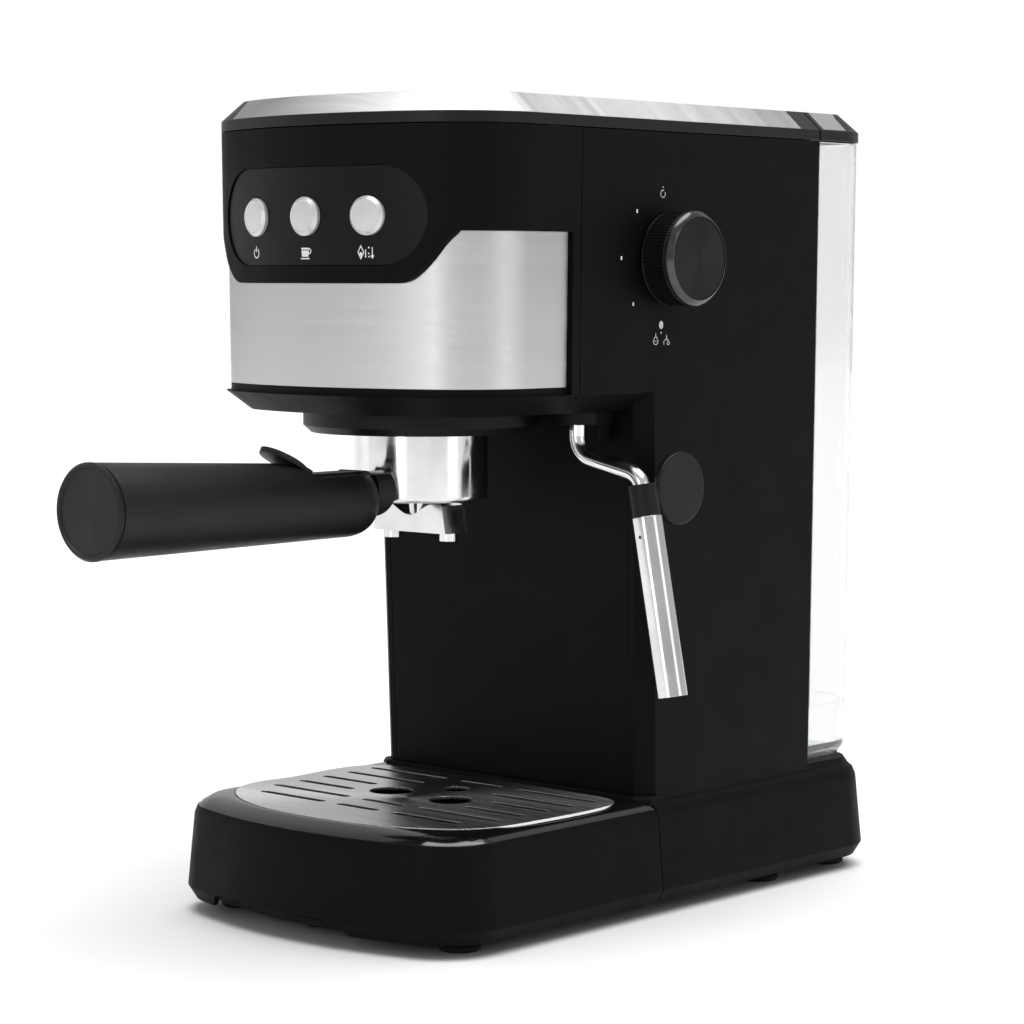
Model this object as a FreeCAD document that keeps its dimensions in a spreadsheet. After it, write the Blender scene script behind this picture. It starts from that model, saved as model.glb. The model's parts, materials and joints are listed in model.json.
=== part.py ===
import FreeCAD, Part
import Sketcher
import math
import os

from FreeCAD import Vector, Placement, Rotation

# Pump espresso machine. Millimetres. +Z up, +X to the right of a person facing the
# machine, -Y towards that person. Origin on the standing surface, on the machine's
# middle plane, under the lower front face of the column.

doc = FreeCAD.newDocument("espresso_machine")
sheet = doc.addObject("Spreadsheet::Sheet", "dims")

DIMS = [
    # housing
    ("head_half_width", 81.0),      # at the top of the head
    ("head_top", 327.0),            # joint under the lid rim
    ("head_low", 212.0),            # flat underside of the head
    ("chamfer_rise", 8.0),          # bevel round the head's lower edge, height
    ("chamfer_depth", 10.5),        # the same bevel, inwards
    ("head_front", 130.3),          # front apex of the head
    ("front_arc", 150.0),           # plan radius of the head's front
    ("corner_arc", 40.0),           # plan radius of the head's front corners
    ("front_seam", 53.7),           # joint between front shell and side panels
    ("panel_rear", 106.2),          # joint between side panels and water tank
    ("side_taper", 0.0125),         # inward lean of each side, per mm down
    ("front_taper", 0.010),         # lean of the head's front, per mm down
    ("column_lean", 0.028),        # lean of the column's front face
    ("column_ahead", 7.0),          # how far the column's face stands ahead of Y = 0
    ("column_foot", 46.5),          # bottom of the column's walls
    ("column_bevel", 6.5),          # bevel on the column's front edges
    ("wall", 2.5),                  # moulded wall thickness
    ("seam_gap", 0.5),              # width of the visible joints
    # lid
    ("rim_height", 4.2),
    ("lid_bevel", 8.4),
    ("lid_top", 340.0),
    ("lid_skin", 0.8),
    # base
    ("base_low", 5.5),
    ("base_half_width", 84.5),      # widest, just above the bottom bevel
    ("base_front", 143.5),
    ("base_front_arc", 215.0),
    ("base_corner", 30.0),
    ("base_rear", 156.0),
    ("base_rear_corner", 26.0),
    ("tray_joint", 4.6),            # joint between drip tray and rear base
    ("plate_low", 5.0),
    ("plate_thick", 3.0),
    # drip tray
    ("grille_level", 49.0),
    ("grille_thick", 1.2),
    ("pan_floor", 10.0),
    # group and portafilter
    ("group_back", 62.8),           # group axis, distance in front of the column foot
    ("collar_radius", 49.0),
    ("collar_low", 203.0),
    ("cup_radius", 28.2),
    ("cup_low", 174.5),
    ("cup_top", 210.2),
    ("basket_radius", 25.6),
    ("basket_low", 186.5),
    ("handle_big", 18.8),
    ("handle_cap_y", 243.2),
    # dial
    ("dial_y", 2.0),
    ("dial_z", 275.0),
    ("dial_radius", 19.6),
    ("dial_depth", 17.0),
    # buttons
    ("button_radius", 7.8),
    ("button_level", 291.4),
    ("button_angle", 12.2),
    # steam wand
    ("wand_x", 56.8),
    ("wand_y", 28.0),
    ("wand_radius", 3.4),
    ("sleeve_radius", 6.2),
    ("sleeve_length", 73.8),
    # water tank
    ("tank_half_width", 80.6),
    ("tank_rear", 151.0),
    ("tank_corner", 24.0),
    ("tank_low", 52.0),
    ("tank_wall", 2.2),
    # boiler and pump
    ("boiler_radius", 40.0),
    ("pump_y", 58.0),
    ("pump_bore", 5.2),
    ("pump_outer", 9.0),
    ("foot_radius", 8.6),
    ("outlet_y", 129.0),
]
for row, (alias, value) in enumerate(DIMS, 1):
    sheet.set("A%d" % row, alias)
    sheet.set("B%d" % row, str(value))
    sheet.setAlias("B%d" % row, alias)
doc.recompute()


def D(alias):
    return float(sheet.get(alias))


class X:
    """A length tied to the sheet: factor * alias + offset."""

    def __init__(self, alias, factor=1.0, offset=0.0):
        self.v = D(alias) * factor + offset
        self.e = "dims.%s * %s + %s" % (alias, repr(float(factor)), repr(float(offset)))


def val(q):
    return q.v if isinstance(q, X) else float(q)


def bind(obj, prop, q):
    if isinstance(q, X):
        obj.setExpression(prop, q.e)


# ---------------------------------------------------------------- sketched bodies

def plane(body, role):
    for f in body.Origin.OriginFeatures:
        if f.Role == role:
            return f


def new_body(name):
    b = doc.addObject("PartDesign::Body", name)
    b.Label = name
    return b


def new_sketch(body, name, role="XY_Plane"):
    s = body.newObject("Sketcher::SketchObject", name)
    s.AttachmentSupport = [(plane(body, role), "")]
    s.MapMode = "FlatFace"
    return s


def draw_poly(s, pts):
    n = len(pts)
    v = [(val(a), val(b)) for a, b in pts]
    ids = [s.addGeometry(Part.LineSegment(Vector(v[i][0], v[i][1], 0),
                                          Vector(v[(i + 1) % n][0], v[(i + 1) % n][1], 0)), False)
           for i in range(n)]
    for i in range(n):
        s.addConstraint(Sketcher.Constraint("Coincident", ids[i], 2, ids[(i + 1) % n], 1))
    for i, (a, b) in enumerate(pts):
        c = s.addConstraint(Sketcher.Constraint("DistanceX", -1, 1, ids[i], 1, v[i][0]))
        bind(s, "Constraints[%d]" % c, a)
        c = s.addConstraint(Sketcher.Constraint("DistanceY", -1, 1, ids[i], 1, v[i][1]))
        bind(s, "Constraints[%d]" % c, b)


def draw_circle(s, cx, cy, r):
    g = s.addGeometry(Part.Circle(Vector(val(cx), val(cy), 0), Vector(0, 0, 1), val(r)), False)
    for kind, q in (("DistanceX", cx), ("DistanceY", cy)):
        c = s.addConstraint(Sketcher.Constraint(kind, -1, 1, g, 3, val(q)))
        bind(s, "Constraints[%d]" % c, q)
    c = s.addConstraint(Sketcher.Constraint("Radius", g, val(r)))
    bind(s, "Constraints[%d]" % c, r)


def pad(body, s, length, name, reverse=False):
    p = body.newObject("PartDesign::Pad", name)
    p.Profile = s
    p.Length = val(length)
    bind(p, "Length", length)
    p.Reversed = reverse
    return p


def pocket(body, s, length, name, reverse=False):
    p = body.newObject("PartDesign::Pocket", name)
    p.Profile = s
    p.Length = val(length)
    bind(p, "Length", length)
    p.Reversed = reverse
    return p


def place(obj, x=0, y=0, z=0, rot=None):
    obj.Placement = Placement(Vector(val(x), val(y), val(z)), rot or Rotation())
    for axis, q in (("x", x), ("y", y), ("z", z)):
        bind(obj, "Placement.Base." + axis, q)
    return obj


def lathe(name, pts, x=0, y=0, z=0, rot=None):
    """A turned piece: profile of (radius, height) points about its own Z."""
    b = new_body(name)
    s = new_sketch(b, name + "_profile", "XZ_Plane")
    draw_poly(s, pts)
    r = b.newObject("PartDesign::Revolution", name + "_turn")
    r.Profile = s
    r.ReferenceAxis = (s, ["V_Axis"])
    r.Angle = 360.0
    return place(b, x, y, z, rot)


def slab(name, pts, thick, x=0, y=0, z=0, rot=None, holes=(), role="XY_Plane"):
    """A plate padded from a polygon, with round holes (cx, cy, r) pocketed through it."""
    b = new_body(name)
    s = new_sketch(b, name + "_outline", role)
    draw_poly(s, pts)
    pad(b, s, thick, name + "_pad")
    if holes:
        t = new_sketch(b, name + "_holes", role)
        for cx, cy, r in holes:
            draw_circle(t, cx, cy, r)
        doc.recompute()
        before = b.Shape.Volume
        p = pocket(b, t, X_plus(thick, 2.0), name + "_drill")
        p.Reversed = True
        doc.recompute()
        if b.Shape.Volume > before - 1e-3:
            p.Reversed = False
            doc.recompute()
        if b.Shape.Volume > before - 1e-3:
            raise RuntimeError(name + ": holes cut nothing")
    return place(b, x, y, z, rot)


def X_plus(q, more):
    return val(q) + more


def rect(x0, y0, x1, y1):
    return [(x0, y0), (x1, y0), (x1, y1), (x0, y1)]


# ---------------------------------------------------------------- primitives

SUB = []


def box(name, x0, y0, z0, dx, dy, dz):
    o = doc.addObject("Part::Box", name)
    for prop, q in (("Length", dx), ("Width", dy), ("Height", dz)):
        setattr(o, prop, val(q))
        bind(o, prop, q)
    return place(o, x0, y0, z0)


def cyl(name, r, height, x=0, y=0, z=0, rot=None):
    o = doc.addObject("Part::Cylinder", name)
    for prop, q in (("Radius", r), ("Height", height)):
        setattr(o, prop, val(q))
        bind(o, prop, q)
    return place(o, x, y, z, rot)


def cut(name, a, b):
    o = doc.addObject("Part::Cut", name)
    o.Base = a
    o.Tool = b
    o.Label = name
    return o


def fuse(name, objs):
    o = doc.addObject("Part::MultiFuse", name)
    o.Shapes = objs
    o.Label = name
    return o


def compound(name, objs):
    o = doc.addObject("Part::Compound", name)
    o.Links = objs
    o.Label = name
    return o


def feature(name, shape):
    o = doc.addObject("Part::Feature", name)
    o.Shape = shape
    o.Label = name
    o.Placement = shape.Placement
    return o


NODES = []


def node(obj):
    NODES.append(obj)
    return obj


AX_X = Rotation(Vector(0, 1, 0), 90)      # local Z to +X
AX_Y = Rotation(Vector(1, 0, 0), -90)     # local Z to +Y
AX_NY = Rotation(Vector(1, 0, 0), 90)     # local Z to -Y
AX_NX = Rotation(Vector(0, 1, 0), -90)

# ---------------------------------------------------------------- moulded shells
# The housing shells taper and have curved plans, so they are lofted with Part and
# read their sizes from the sheet.


def outline(z, half, apex, arc, corner, rear, rear_corner=0.0, inset=0.0, rear_inset=None):
    """Closed plan line at height z: bowed front, rounded front corners, straight sides."""
    if rear_inset is None:
        rear_inset = inset
    hw = half - inset
    ap = apex - inset
    R = arc - inset
    r = corner - inset
    yr = rear - rear_inset
    cf = -ap + R
    yc = cf - math.sqrt((R - r) ** 2 - (hw - r) ** 2)
    d = Vector(hw - r, yc - cf, 0).normalize()
    t = Vector(0, cf, 0) + d * R
    mid = (d + Vector(1, 0, 0)).normalize()
    m = Vector(hw - r, yc, 0) + mid * r

    def P(x, y):
        return Vector(x, y, z)

    edges = [
        Part.Arc(P(-t.x, t.y), P(0, -ap), P(t.x, t.y)).toShape(),
        Part.Arc(P(t.x, t.y), P(m.x, m.y), P(hw, yc)).toShape(),
    ]
    if rear_corner:
        q = rear_corner - rear_inset
        k = q * (1 - math.sqrt(0.5))
        edges += [
            Part.LineSegment(P(hw, yc), P(hw, yr - q)).toShape(),
            Part.Arc(P(hw, yr - q), P(hw - k, yr - k), P(hw - q, yr)).toShape(),
            Part.LineSegment(P(hw - q, yr), P(-hw + q, yr)).toShape(),
            Part.Arc(P(-hw + q, yr), P(-hw + k, yr - k), P(-hw, yr - q)).toShape(),
            Part.LineSegment(P(-hw, yr - q), P(-hw, yc)).toShape(),
        ]
    else:
        edges += [
            Part.LineSegment(P(hw, yc), P(hw, yr)).toShape(),
            Part.LineSegment(P(hw, yr), P(-hw, yr)).toShape(),
            Part.LineSegment(P(-hw, yr), P(-hw, yc)).toShape(),
        ]
    edges.append(Part.Arc(P(-hw, yc), P(-m.x, m.y), P(-t.x, t.y)).toShape())
    return Part.Wire(edges)


def rear_outline(z, half, front, rear, corner, inset=0.0, front_inset=None):
    """Closed plan line: square front, straight sides, rounded rear corners."""
    if front_inset is None:
        front_inset = inset
    hw = half - inset
    y0 = front + front_inset
    yr = rear - inset
    q = corner - inset
    k = q * (1 - math.sqrt(0.5))

    def P(x, y):
        return Vector(x, y, z)

    return Part.Wire([
        Part.LineSegment(P(-hw, y0), P(hw, y0)).toShape(),
        Part.LineSegment(P(hw, y0), P(hw, yr - q)).toShape(),
        Part.Arc(P(hw, yr - q), P(hw - k, yr - k), P(hw - q, yr)).toShape(),
        Part.LineSegment(P(hw - q, yr), P(-hw + q, yr)).toShape(),
        Part.Arc(P(-hw + q, yr), P(-hw + k, yr - k), P(-hw, yr - q)).toShape(),
        Part.LineSegment(P(-hw, yr - q), P(-hw, y0)).toShape(),
    ])


def poly_wire(pts):
    v = [Vector(*p) for p in pts]
    return Part.makePolygon(v + [v[0]])


def loft(wires):
    return Part.makeLoft(wires, True, True)


def prism(wire, height):
    return Part.Face(wire).extrude(Vector(0, 0, height))


def bx(x0, y0, z0, x1, y1, z1):
    return Part.makeBox(x1 - x0, y1 - y0, z1 - z0, Vector(x0, y0, z0))


def half_at(z):
    return D("head_half_width") - (D("head_top") - z) * D("side_taper")


def apex_at(z):
    return D("head_front") - (D("head_top") - z) * D("front_taper")


def face_at(z):
    return -(z - 49.0) * D("column_lean") - D("column_ahead")


def head_line(z, inset=0.0, rear=None, rear_inset=0.0):
    return outline(z, half_at(z), apex_at(z), D("front_arc"), D("corner_arc"),
                   D("panel_rear") if rear is None else rear, 0.0, inset, rear_inset)


def column_line(z, inset=0.0, rear=None):
    hw = half_at(z) - inset
    y0 = face_at(z) + inset
    b = D("column_bevel") - inset * 0.6
    yr = D("panel_rear") if rear is None else rear
    return poly_wire([(-hw + b, y0, z), (hw - b, y0, z), (hw, y0 + b * 0.9, z),
                      (hw, yr, z), (-hw, yr, z), (-hw, y0 + b * 0.9, z)])


top = D("head_top")
low = D("head_low")
rise = D("chamfer_rise")
deep = D("chamfer_depth")
wall = D("wall")
gap = D("seam_gap")
seam = -D("front_seam")
rear = D("panel_rear")
foot_z = D("column_foot")

outer = loft([head_line(low + rise), head_line(top)])
outer = outer.fuse(loft([head_line(low, deep), head_line(low + rise)]))
outer = outer.fuse(loft([column_line(foot_z), column_line(low + rise)]))
far = rear + 20.0
inner = loft([head_line(low + rise + 1.0, wall, far), head_line(top + 1.0, wall, far)])
inner = inner.fuse(loft([head_line(low + wall, deep + 1.6, far), head_line(low + rise + 1.0, wall, far)]))
inner = inner.fuse(loft([column_line(foot_z - 2.0, wall, far), column_line(low + rise + 1.0, wall, far)]))
shell = outer.cut(inner)

under_prism = prism(head_line(low - 0.5, deep + 0.3, -2.0), wall + 0.9)
face_half = half_at(low) - D("column_bevel") - 0.3
front_face_block = loft([
    poly_wire([(-half_at(foot_z) + 9.3, face_at(foot_z) - 1, foot_z - 1), (half_at(foot_z) - 9.3, face_at(foot_z) - 1, foot_z - 1),
               (half_at(foot_z) - 9.3, face_at(foot_z) + wall + 0.4, foot_z - 1), (-half_at(foot_z) + 9.3, face_at(foot_z) + wall + 0.4, foot_z - 1)]),
    poly_wire([(-half_at(low) + 9.3, face_at(low) - 1, low + wall + 0.4), (half_at(low) - 9.3, face_at(low) - 1, low + wall + 0.4),
               (half_at(low) - 9.3, face_at(low) + wall + 0.4, low + wall + 0.4), (-half_at(low) + 9.3, face_at(low) + wall + 0.4, low + wall + 0.4)])])
ring_cut = bx(-90, -2.2, low - 1, 90, 0.2, low + wall + 0.4).common(prism(head_line(low - 1, deep + 0.3, 2.0), 10))
panels = shell.cut(under_prism).cut(front_face_block).cut(ring_cut)

# ---- front shell of the head, with the seat for the steel plate and the control panel
front = panels.common(bx(-100, -150, low - 1, 100, seam - gap / 2, top + 1))
plate_top = 285.4
plate_dip = 264.8
bezel_low = 50.0


def bezel_mask(grow=0.0):
    """The steel plate's front view: full width, dipping under the control panel."""
    g = grow
    z0 = low + rise
    pts_top = plate_top + g
    a = 66.5 - g
    b = 44.0 - g
    c = plate_dip + g
    edges = []

    def P(x, zz):
        return Vector(x, -160, zz)

    def s_curve(sign):
        p0 = P(sign * a, pts_top)
        p1 = P(sign * (a - 3.5), pts_top - 4.5)
        p2 = P(sign * (b + 5.0), c + 3.2)
        p3 = P(sign * b, c)
        return p0, p1, p2, p3

    r0, r1, r2, r3 = s_curve(1)
    l0, l1, l2, l3 = s_curve(-1)
    edges.append(Part.LineSegment(P(90, z0), P(90, pts_top)).toShape())
    edges.append(Part.LineSegment(P(90, pts_top), r0).toShape())
    c1 = Part.BSplineCurve()
    c1.interpolate([r0, P(a - 2.6, pts_top - 3.4), P(a - 7.5, pts_top - 10.5), P(b + 9.0, c + 3.4), r3],
                   InitialTangent=Vector(-0.5, 0, -1), FinalTangent=Vector(-1, 0, 0))
    edges.append(c1.toShape())
    edges.append(Part.LineSegment(r3, l3).toShape())
    c2 = Part.BSplineCurve()
    c2.interpolate([l3, P(-b - 9.0, c + 3.4), P(-a + 7.5, pts_top - 10.5), P(-a + 2.6, pts_top - 3.4), l0],
                   InitialTangent=Vector(-1, 0, 0), FinalTangent=Vector(-0.5, 0, 1))
    edges.append(c2.toShape())
    edges.append(Part.LineSegment(l0, P(-90, pts_top)).toShape())
    edges.append(Part.LineSegment(P(-90, pts_top), P(-90, z0)).toShape())
    edges.append(Part.LineSegment(P(-90, z0), P(90, z0)).toShape())
    return Part.Face(Part.Wire(edges)).extrude(Vector(0, 160 + seam - 4.6, 0))


skin_a = loft([head_line(low + rise, 2.2), head_line(top, 2.2)])
skin_b = loft([head_line(low + rise, 3.1), head_line(top, 3.1)])
mask = bezel_mask()
bottom_lip = 223.2
# everything below the bezel line lies 2.2 mm further in than the shell above it
front = front.cut(mask.cut(skin_a))
seat = mask.common(bx(-100, -170, bottom_lip, 100, seam - 5.6, plate_top + 5))
front_backed = mask.common(skin_a.cut(loft([head_line(low + rise, 5.2), head_line(top, 5.2)]))).common(
    bx(-100, -170, low + rise, 100, seam - 4.6, plate_top + 1))
front = front.fuse(front_backed)
front = front.cut(seat.cut(skin_b))
steel = seat.common(skin_a.cut(skin_b))

# control panel: a stadium let into the front
pod_half = 57.0
pod_low, pod_high = 271.8, 311.2


def pod_mask(grow=0.0, y1=-100.0):
    r = (pod_high - pod_low) / 2 + grow
    zc = (pod_high + pod_low) / 2
    xs = pod_half - (pod_high - pod_low) / 2

    def P(x, zz):
        return Vector(x, -160, zz)

    w = Part.Wire([
        Part.LineSegment(P(-xs, zc - r), P(xs, zc - r)).toShape(),
        Part.Arc(P(xs, zc - r), P(xs + r, zc), P(xs, zc + r)).toShape(),
        Part.LineSegment(P(xs, zc + r), P(-xs, zc + r)).toShape(),
        Part.Arc(P(-xs, zc + r), P(-xs - r, zc), P(-xs, zc - r)).toShape(),
    ])
    return Part.Face(w).extrude(Vector(0, 160 + y1, 0))


pod_out = loft([head_line(low + rise, 0.7), head_line(top, 0.7)])
pod_in = loft([head_line(low + rise, 2.1), head_line(top, 2.1)])
front = front.cut(pod_mask(0.15).cut(pod_in))
front = front.fuse(pod_mask(1.5).common(loft([head_line(low + rise, 2.15), head_line(top, 2.15)]).cut(
    loft([head_line(low + rise, 4.0), head_line(top, 4.0)]))))
pod = pod_mask().common(pod_out.cut(pod_in))

arc_centre = -D("head_front") + D("front_arc")


def button_frame(i):
    """Placement on the front surface with local Z pointing out of the panel."""
    ang = D("button_angle") * i
    a = math.radians(ang)
    zb = D("button_level")
    cy = -apex_at(zb) + D("front_arc")
    R = D("front_arc") - 0.7
    pos = Vector(R * math.sin(a), cy - R * math.cos(a), zb)
    out = Vector(math.sin(a), -math.cos(a), 0)
    rot = Rotation(Vector(0, 0, 1), ang) * AX_NY
    return Placement(pos, rot), out


def local_cyl(frame, r, z0, z1):
    c = Part.makeCylinder(r, z1 - z0, Vector(0, 0, z0))
    c.Placement = frame
    return c


for i in (-1, 0, 1):
    fr, out = button_frame(i)
    front = front.cut(local_cyl(fr, D("button_radius") + 0.55, -14, 6))
    pod = pod.cut(local_cyl(fr, D("button_radius") + 0.35, -14, 6))

node(feature("head_front_shell", front))
node(feature("steel_front_plate", steel))
node(feature("control_panel", pod))

# ---- side panels: head side and column side in one piece each
side = panels.common(bx(-100, seam + gap / 2, foot_z - 1, 100, rear + 1, top + 1))
left = side.common(bx(-100, -150, 0, 0, 200, 400))
right = side.common(bx(0, -150, 0, 100, 200, 400))
right = right.cut(Part.makeCylinder(5.5, 30, Vector(62, D("dial_y"), D("dial_z")), Vector(1, 0, 0)))
node(feature("side_panel_left", left))
node(feature("side_panel_right", right))

# ---- underside of the head
under = prism(head_line(low, deep + 0.5, -2.6), wall - 0.1)
under = under.cut(Part.makeCylinder(45.2, 20, Vector(0, -D("group_back"), low - 5)))
under = under.cut(Part.makeCylinder(4.2, 20, Vector(D("wand_x"), -D("wand_y"), low - 5)))
node(feature("head_underside", under))

# ---- flat front panel of the column
face_plate = loft([
    poly_wire([(-half_at(foot_z) + 9.6, face_at(foot_z), foot_z), (half_at(foot_z) - 9.6, face_at(foot_z), foot_z),
               (half_at(foot_z) - 9.6, face_at(foot_z) + wall, foot_z), (-half_at(foot_z) + 9.6, face_at(foot_z) + wall, foot_z)]),
    poly_wire([(-half_at(low) + 9.6, face_at(low), low + wall), (half_at(low) - 9.6, face_at(low), low + wall),
               (half_at(low) - 9.6, face_at(low) + wall, low + wall), (-half_at(low) + 9.6, face_at(low) + wall, low + wall)])])
face_plate = face_plate.cut(under_prism)
node(feature("column_front_panel", face_plate))

# ---- rear wall of the body, which the water tank stands against
bay = loft([
    poly_wire([(-half_at(foot_z) + 2.9, rear - 3.2, foot_z + 2), (half_at(foot_z) - 2.9, rear - 3.2, foot_z + 2),
               (half_at(foot_z) - 2.9, rear - 0.6, foot_z + 2), (-half_at(foot_z) + 2.9, rear - 0.6, foot_z + 2)]),
    poly_wire([(-half_at(top) + 2.9, rear - 3.2, top - 0.6), (half_at(top) - 2.9, rear - 3.2, top - 0.6),
               (half_at(top) - 2.9, rear - 0.6, top - 0.6), (-half_at(top) + 2.9, rear - 0.6, top - 0.6)])])
node(feature("tank_bay_wall", bay))

# ---- lid frame, cup-warmer plate
z_rim = top + gap
z_bev = z_rim + D("rim_height")
z_top = D("lid_top")
bevel = z_top - z_bev


def lid_solid(drop=0.0):
    a = prism(head_line(z_rim - drop, 0.0, rear), z_bev - z_rim)
    b = loft([head_line(z_bev - drop, 0.0, rear), head_line(z_top - drop, D("lid_bevel") + 1.0, rear)])
    return a.fuse(b)


lid_outer = lid_solid()
lid_in = loft([head_line(z_rim - 1, wall, far), head_line(z_bev - 0.6, wall, far)]).fuse(
    loft([head_line(z_bev - 0.6, wall, far), head_line(z_top - wall, D("lid_bevel") + 1.0 + 1.4, far)]))
frame = lid_outer.cut(lid_in)
skin = D("lid_skin")
inset_top = Part.Face(poly_wire([(-62, rear - 19.0, 0), (-62, -60, 0), (-54, -98, 0), (-47.5, -150, 0), (100, -150, 0), (100, rear - 13.0, 0), (-56, rear - 13.0, 0)])).extrude(Vector(0, 0, 400))
plate_zone = inset_top.common(bx(-100, -150, z_bev + 0.25, 100, 150, z_top + 3))
shifted = lid_outer.copy()
shifted.translate(Vector(0, 0, -skin))
warmer = lid_outer.cut(shifted).common(plate_zone)
frame = frame.cut(plate_zone.cut(shifted))
node(feature("top_frame", frame))
node(feature("cup_warmer_plate", warmer))

# ---- rear base
BASE_STEPS = [(D("base_low"), 3.4), (11.0, 0.0), (41.5, 2.9), (45.0, 4.3), (46.6, 6.2)]


def base_rear_line(z, inset, front_inset=0.0):
    return rear_outline(z, D("base_half_width"), -D("tray_joint") + 0.6, D("base_rear"), D("base_rear_corner"),
                        inset, front_inset)


base = loft([base_rear_line(z, i) for z, i in BASE_STEPS])
base = base.fuse(loft([base_rear_line(46.6, 6.2), base_rear_line(50.0, 8.6, 2.5)]))
cavity = loft([base_rear_line(D("base_low") - 1, wall + 3.4, wall), base_rear_line(44.0, wall + 3.4, wall)])
base = base.cut(cavity)
base = base.cut(bx(-66, 8, 40, 66, 99, 60))
# ledge that carries the column's face ahead of the joint
ledge_pts = [(-79.6, 2.0), (-79.6, -3.9), (-78.4, -5.2), (-72.6, -10.2), (72.6, -10.2), (78.4, -5.2), (79.6, -3.9), (79.6, 2.0)]
ledge = loft([poly_wire([(x, y, 45.0) for x, y in ledge_pts]), poly_wire([(x, y, 48.6) for x, y in ledge_pts])]).fuse(
    loft([poly_wire([(x, y, 48.6) for x, y in ledge_pts]), poly_wire([(x * 0.988, y + 0.8 if y < 0 else y, 50.0) for x, y in ledge_pts])]))
ledge_room = Part.Face(poly_wire([(-80.2, 3.0, 44.6), (-80.2, -4.1, 44.6), (-78.8, -5.6, 44.6), (-72.8, -10.7, 44.6),
                                  (72.8, -10.7, 44.6), (78.8, -5.6, 44.6), (80.2, -4.1, 44.6), (80.2, 3.0, 44.6)])).extrude(Vector(0, 0, 20))
base = base.fuse(ledge.common(bx(-78.2, -12, 44, 78.2, 2, 52)))
base = base.cut(bx(-77.9, -8, 4.0, 77.9, 1.5, 8.3))
# seat for the column walls and for the tank
base = base.cut(loft([column_line(foot_z - 0.1, -0.15), column_line(60, -0.15)]).common(bx(-100, -14, foot_z - 0.1, 100, rear + 0.4, 60)))
base = base.cut(Part.makeCylinder(12.2, 30, Vector(0, D("outlet_y"), 38)))
base = base.cut(Part.makeCylinder(8.2, 20, Vector(-46, 145, 24), Vector(0, 1, 0)))
base = base.cut(Part.makeCylinder(11.3, 20, Vector(-46, D("base_rear") - 1.1, 24), Vector(0, 1, 0)))
node(feature("base_housing", base))

# ---- floor plate under base and tray
plate_w = outline(D("plate_low"), 77.5, 132.0, 205.0, 22.0, 148.6, 26.0)
floor_plate = prism(plate_w, D("plate_thick"))
floor_plate = floor_plate.fuse(Part.makeCylinder(4.4, 4.6, Vector(-8.5, -115.0, 0.6)))
FEET = [(63.5, -107), (-63.5, -107), (66, 86), (-66, 86), (64, 138), (-64, 138)]
for fx, fy in FEET:
    floor_plate = floor_plate.cut(Part.makeCylinder(3.3, 10, Vector(fx, fy, 3)))
for k in range(5):
    floor_plate = floor_plate.cut(bx(-30 + k * 13, 30, 3, -24 + k * 13, 66, 10))
node(feature("base_floor_plate", floor_plate))

# ---- drip tray: outer shell, glossy deck, pan, steel grille


def tray_line(z, inset, rear_inset=0.0):
    return outline(z, D("base_half_width"), D("base_front"), D("base_front_arc"), D("base_corner"),
                   -D("tray_joint"), 0.0, inset, rear_inset)


NOTCH = (-52.0, 32.0)               # ends of the finger notch along X
tray_out = loft([tray_line(z, i) for z, i in BASE_STEPS])
tray_in = loft([tray_line(D("base_low") - 1, wall + 3.4, -5), tray_line(10.0, wall + 1.6, -5)]).fuse(
    loft([tray_line(10.0, wall + 1.6, -5), tray_line(50.0, wall + 5.0, -5)]))
tray = tray_out.cut(tray_in)
tray = tray.common(bx(-100, -160, 0, 100, 0, 44.6))
# finger notch under the front edge
notch = Part.Face(poly_wire([(NOTCH[0], -160, 0), (NOTCH[0], -160, 5.5), (NOTCH[0] + 3.0, -160, 8.6), (NOTCH[0] + 6.0, -160, 11.0), (NOTCH[0] + 9.5, -160, 11.6),
                             (NOTCH[1] - 10.5, -160, 11.6), (NOTCH[1] - 6.5, -160, 10.6), (NOTCH[1] - 3.0, -160, 7.6), (NOTCH[1], -160, 5.5), (NOTCH[1], -160, 0)])).extrude(Vector(0, 50, 0))
tray = tray.cut(notch)
# rear wall of the tray, clear of the floor plate
tray = tray.fuse(tray_out.common(bx(-100, -D("tray_joint") - 2.2, 9.6, 100, 0, 44.6)))
node(feature("tray_shell", tray))

# rows of slots
GY = [-100.4, -85.4, -70.4, -55.4, -40.4, -25.4]


def grille_line(z, inset=0.0):
    """Bowed front and rear, pointed sides with small rounds."""
    def P(x, y):
        return Vector(x, y, z)
    i = inset
    pts = [(-75.4 + i, -76), (-70.6 + i, -102), (-50 + i * 0.6, -119.5 + i * 0.8), (0, -129.5 + i), (50 - i * 0.6, -119.5 + i * 0.8),
           (70.6 - i, -102), (75.4 - i, -76), (76 - i, -40), (71.0 - i, -20.5 - i * 0.6), (40, -14.0 - i), (0, -11.9 - i),
           (-40, -14.0 - i), (-71.0 + i, -20.5 - i * 0.6), (-76 + i, -40)]
    c = Part.BSplineCurve()
    c.interpolate([P(x, y) for x, y in pts], PeriodicFlag=True)
    return Part.Wire([c.toShape()])


g_top = D("grille_level")
g_th = D("grille_thick")
deck_edge = 45.2
deck = loft([tray_line(44.7, 4.6), tray_line(deck_edge, 4.9)]).fuse(
    loft([tray_line(deck_edge, 4.9), tray_line(46.6, 6.6, 0.2), tray_line(g_top - 0.2, 11.0, 1.2)]))
deck = deck.cut(prism(grille_line(30, 3.2), 30))
deck = deck.cut(prism(grille_line(g_top - g_th - 0.35, -0.5), 10))
deck_under = loft([tray_line(40.0, 7.4, 2.3), tray_line(44.71, 7.4, 2.3)]).cut(prism(grille_line(30, 3.2), 30))
deck = deck.fuse(deck_under.common(bx(-100, -160, 42.4, 100, 0, 44.8)))
deck = deck.cut(ledge_room)
node(feature("tray_deck", deck))

pan = prism(grille_line(D("pan_floor"), 1.4), 42.0 - D("pan_floor")).cut(
    prism(grille_line(D("pan_floor") + 2.0, 3.4), 60))
node(feature("drip_pan", pan))

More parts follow.
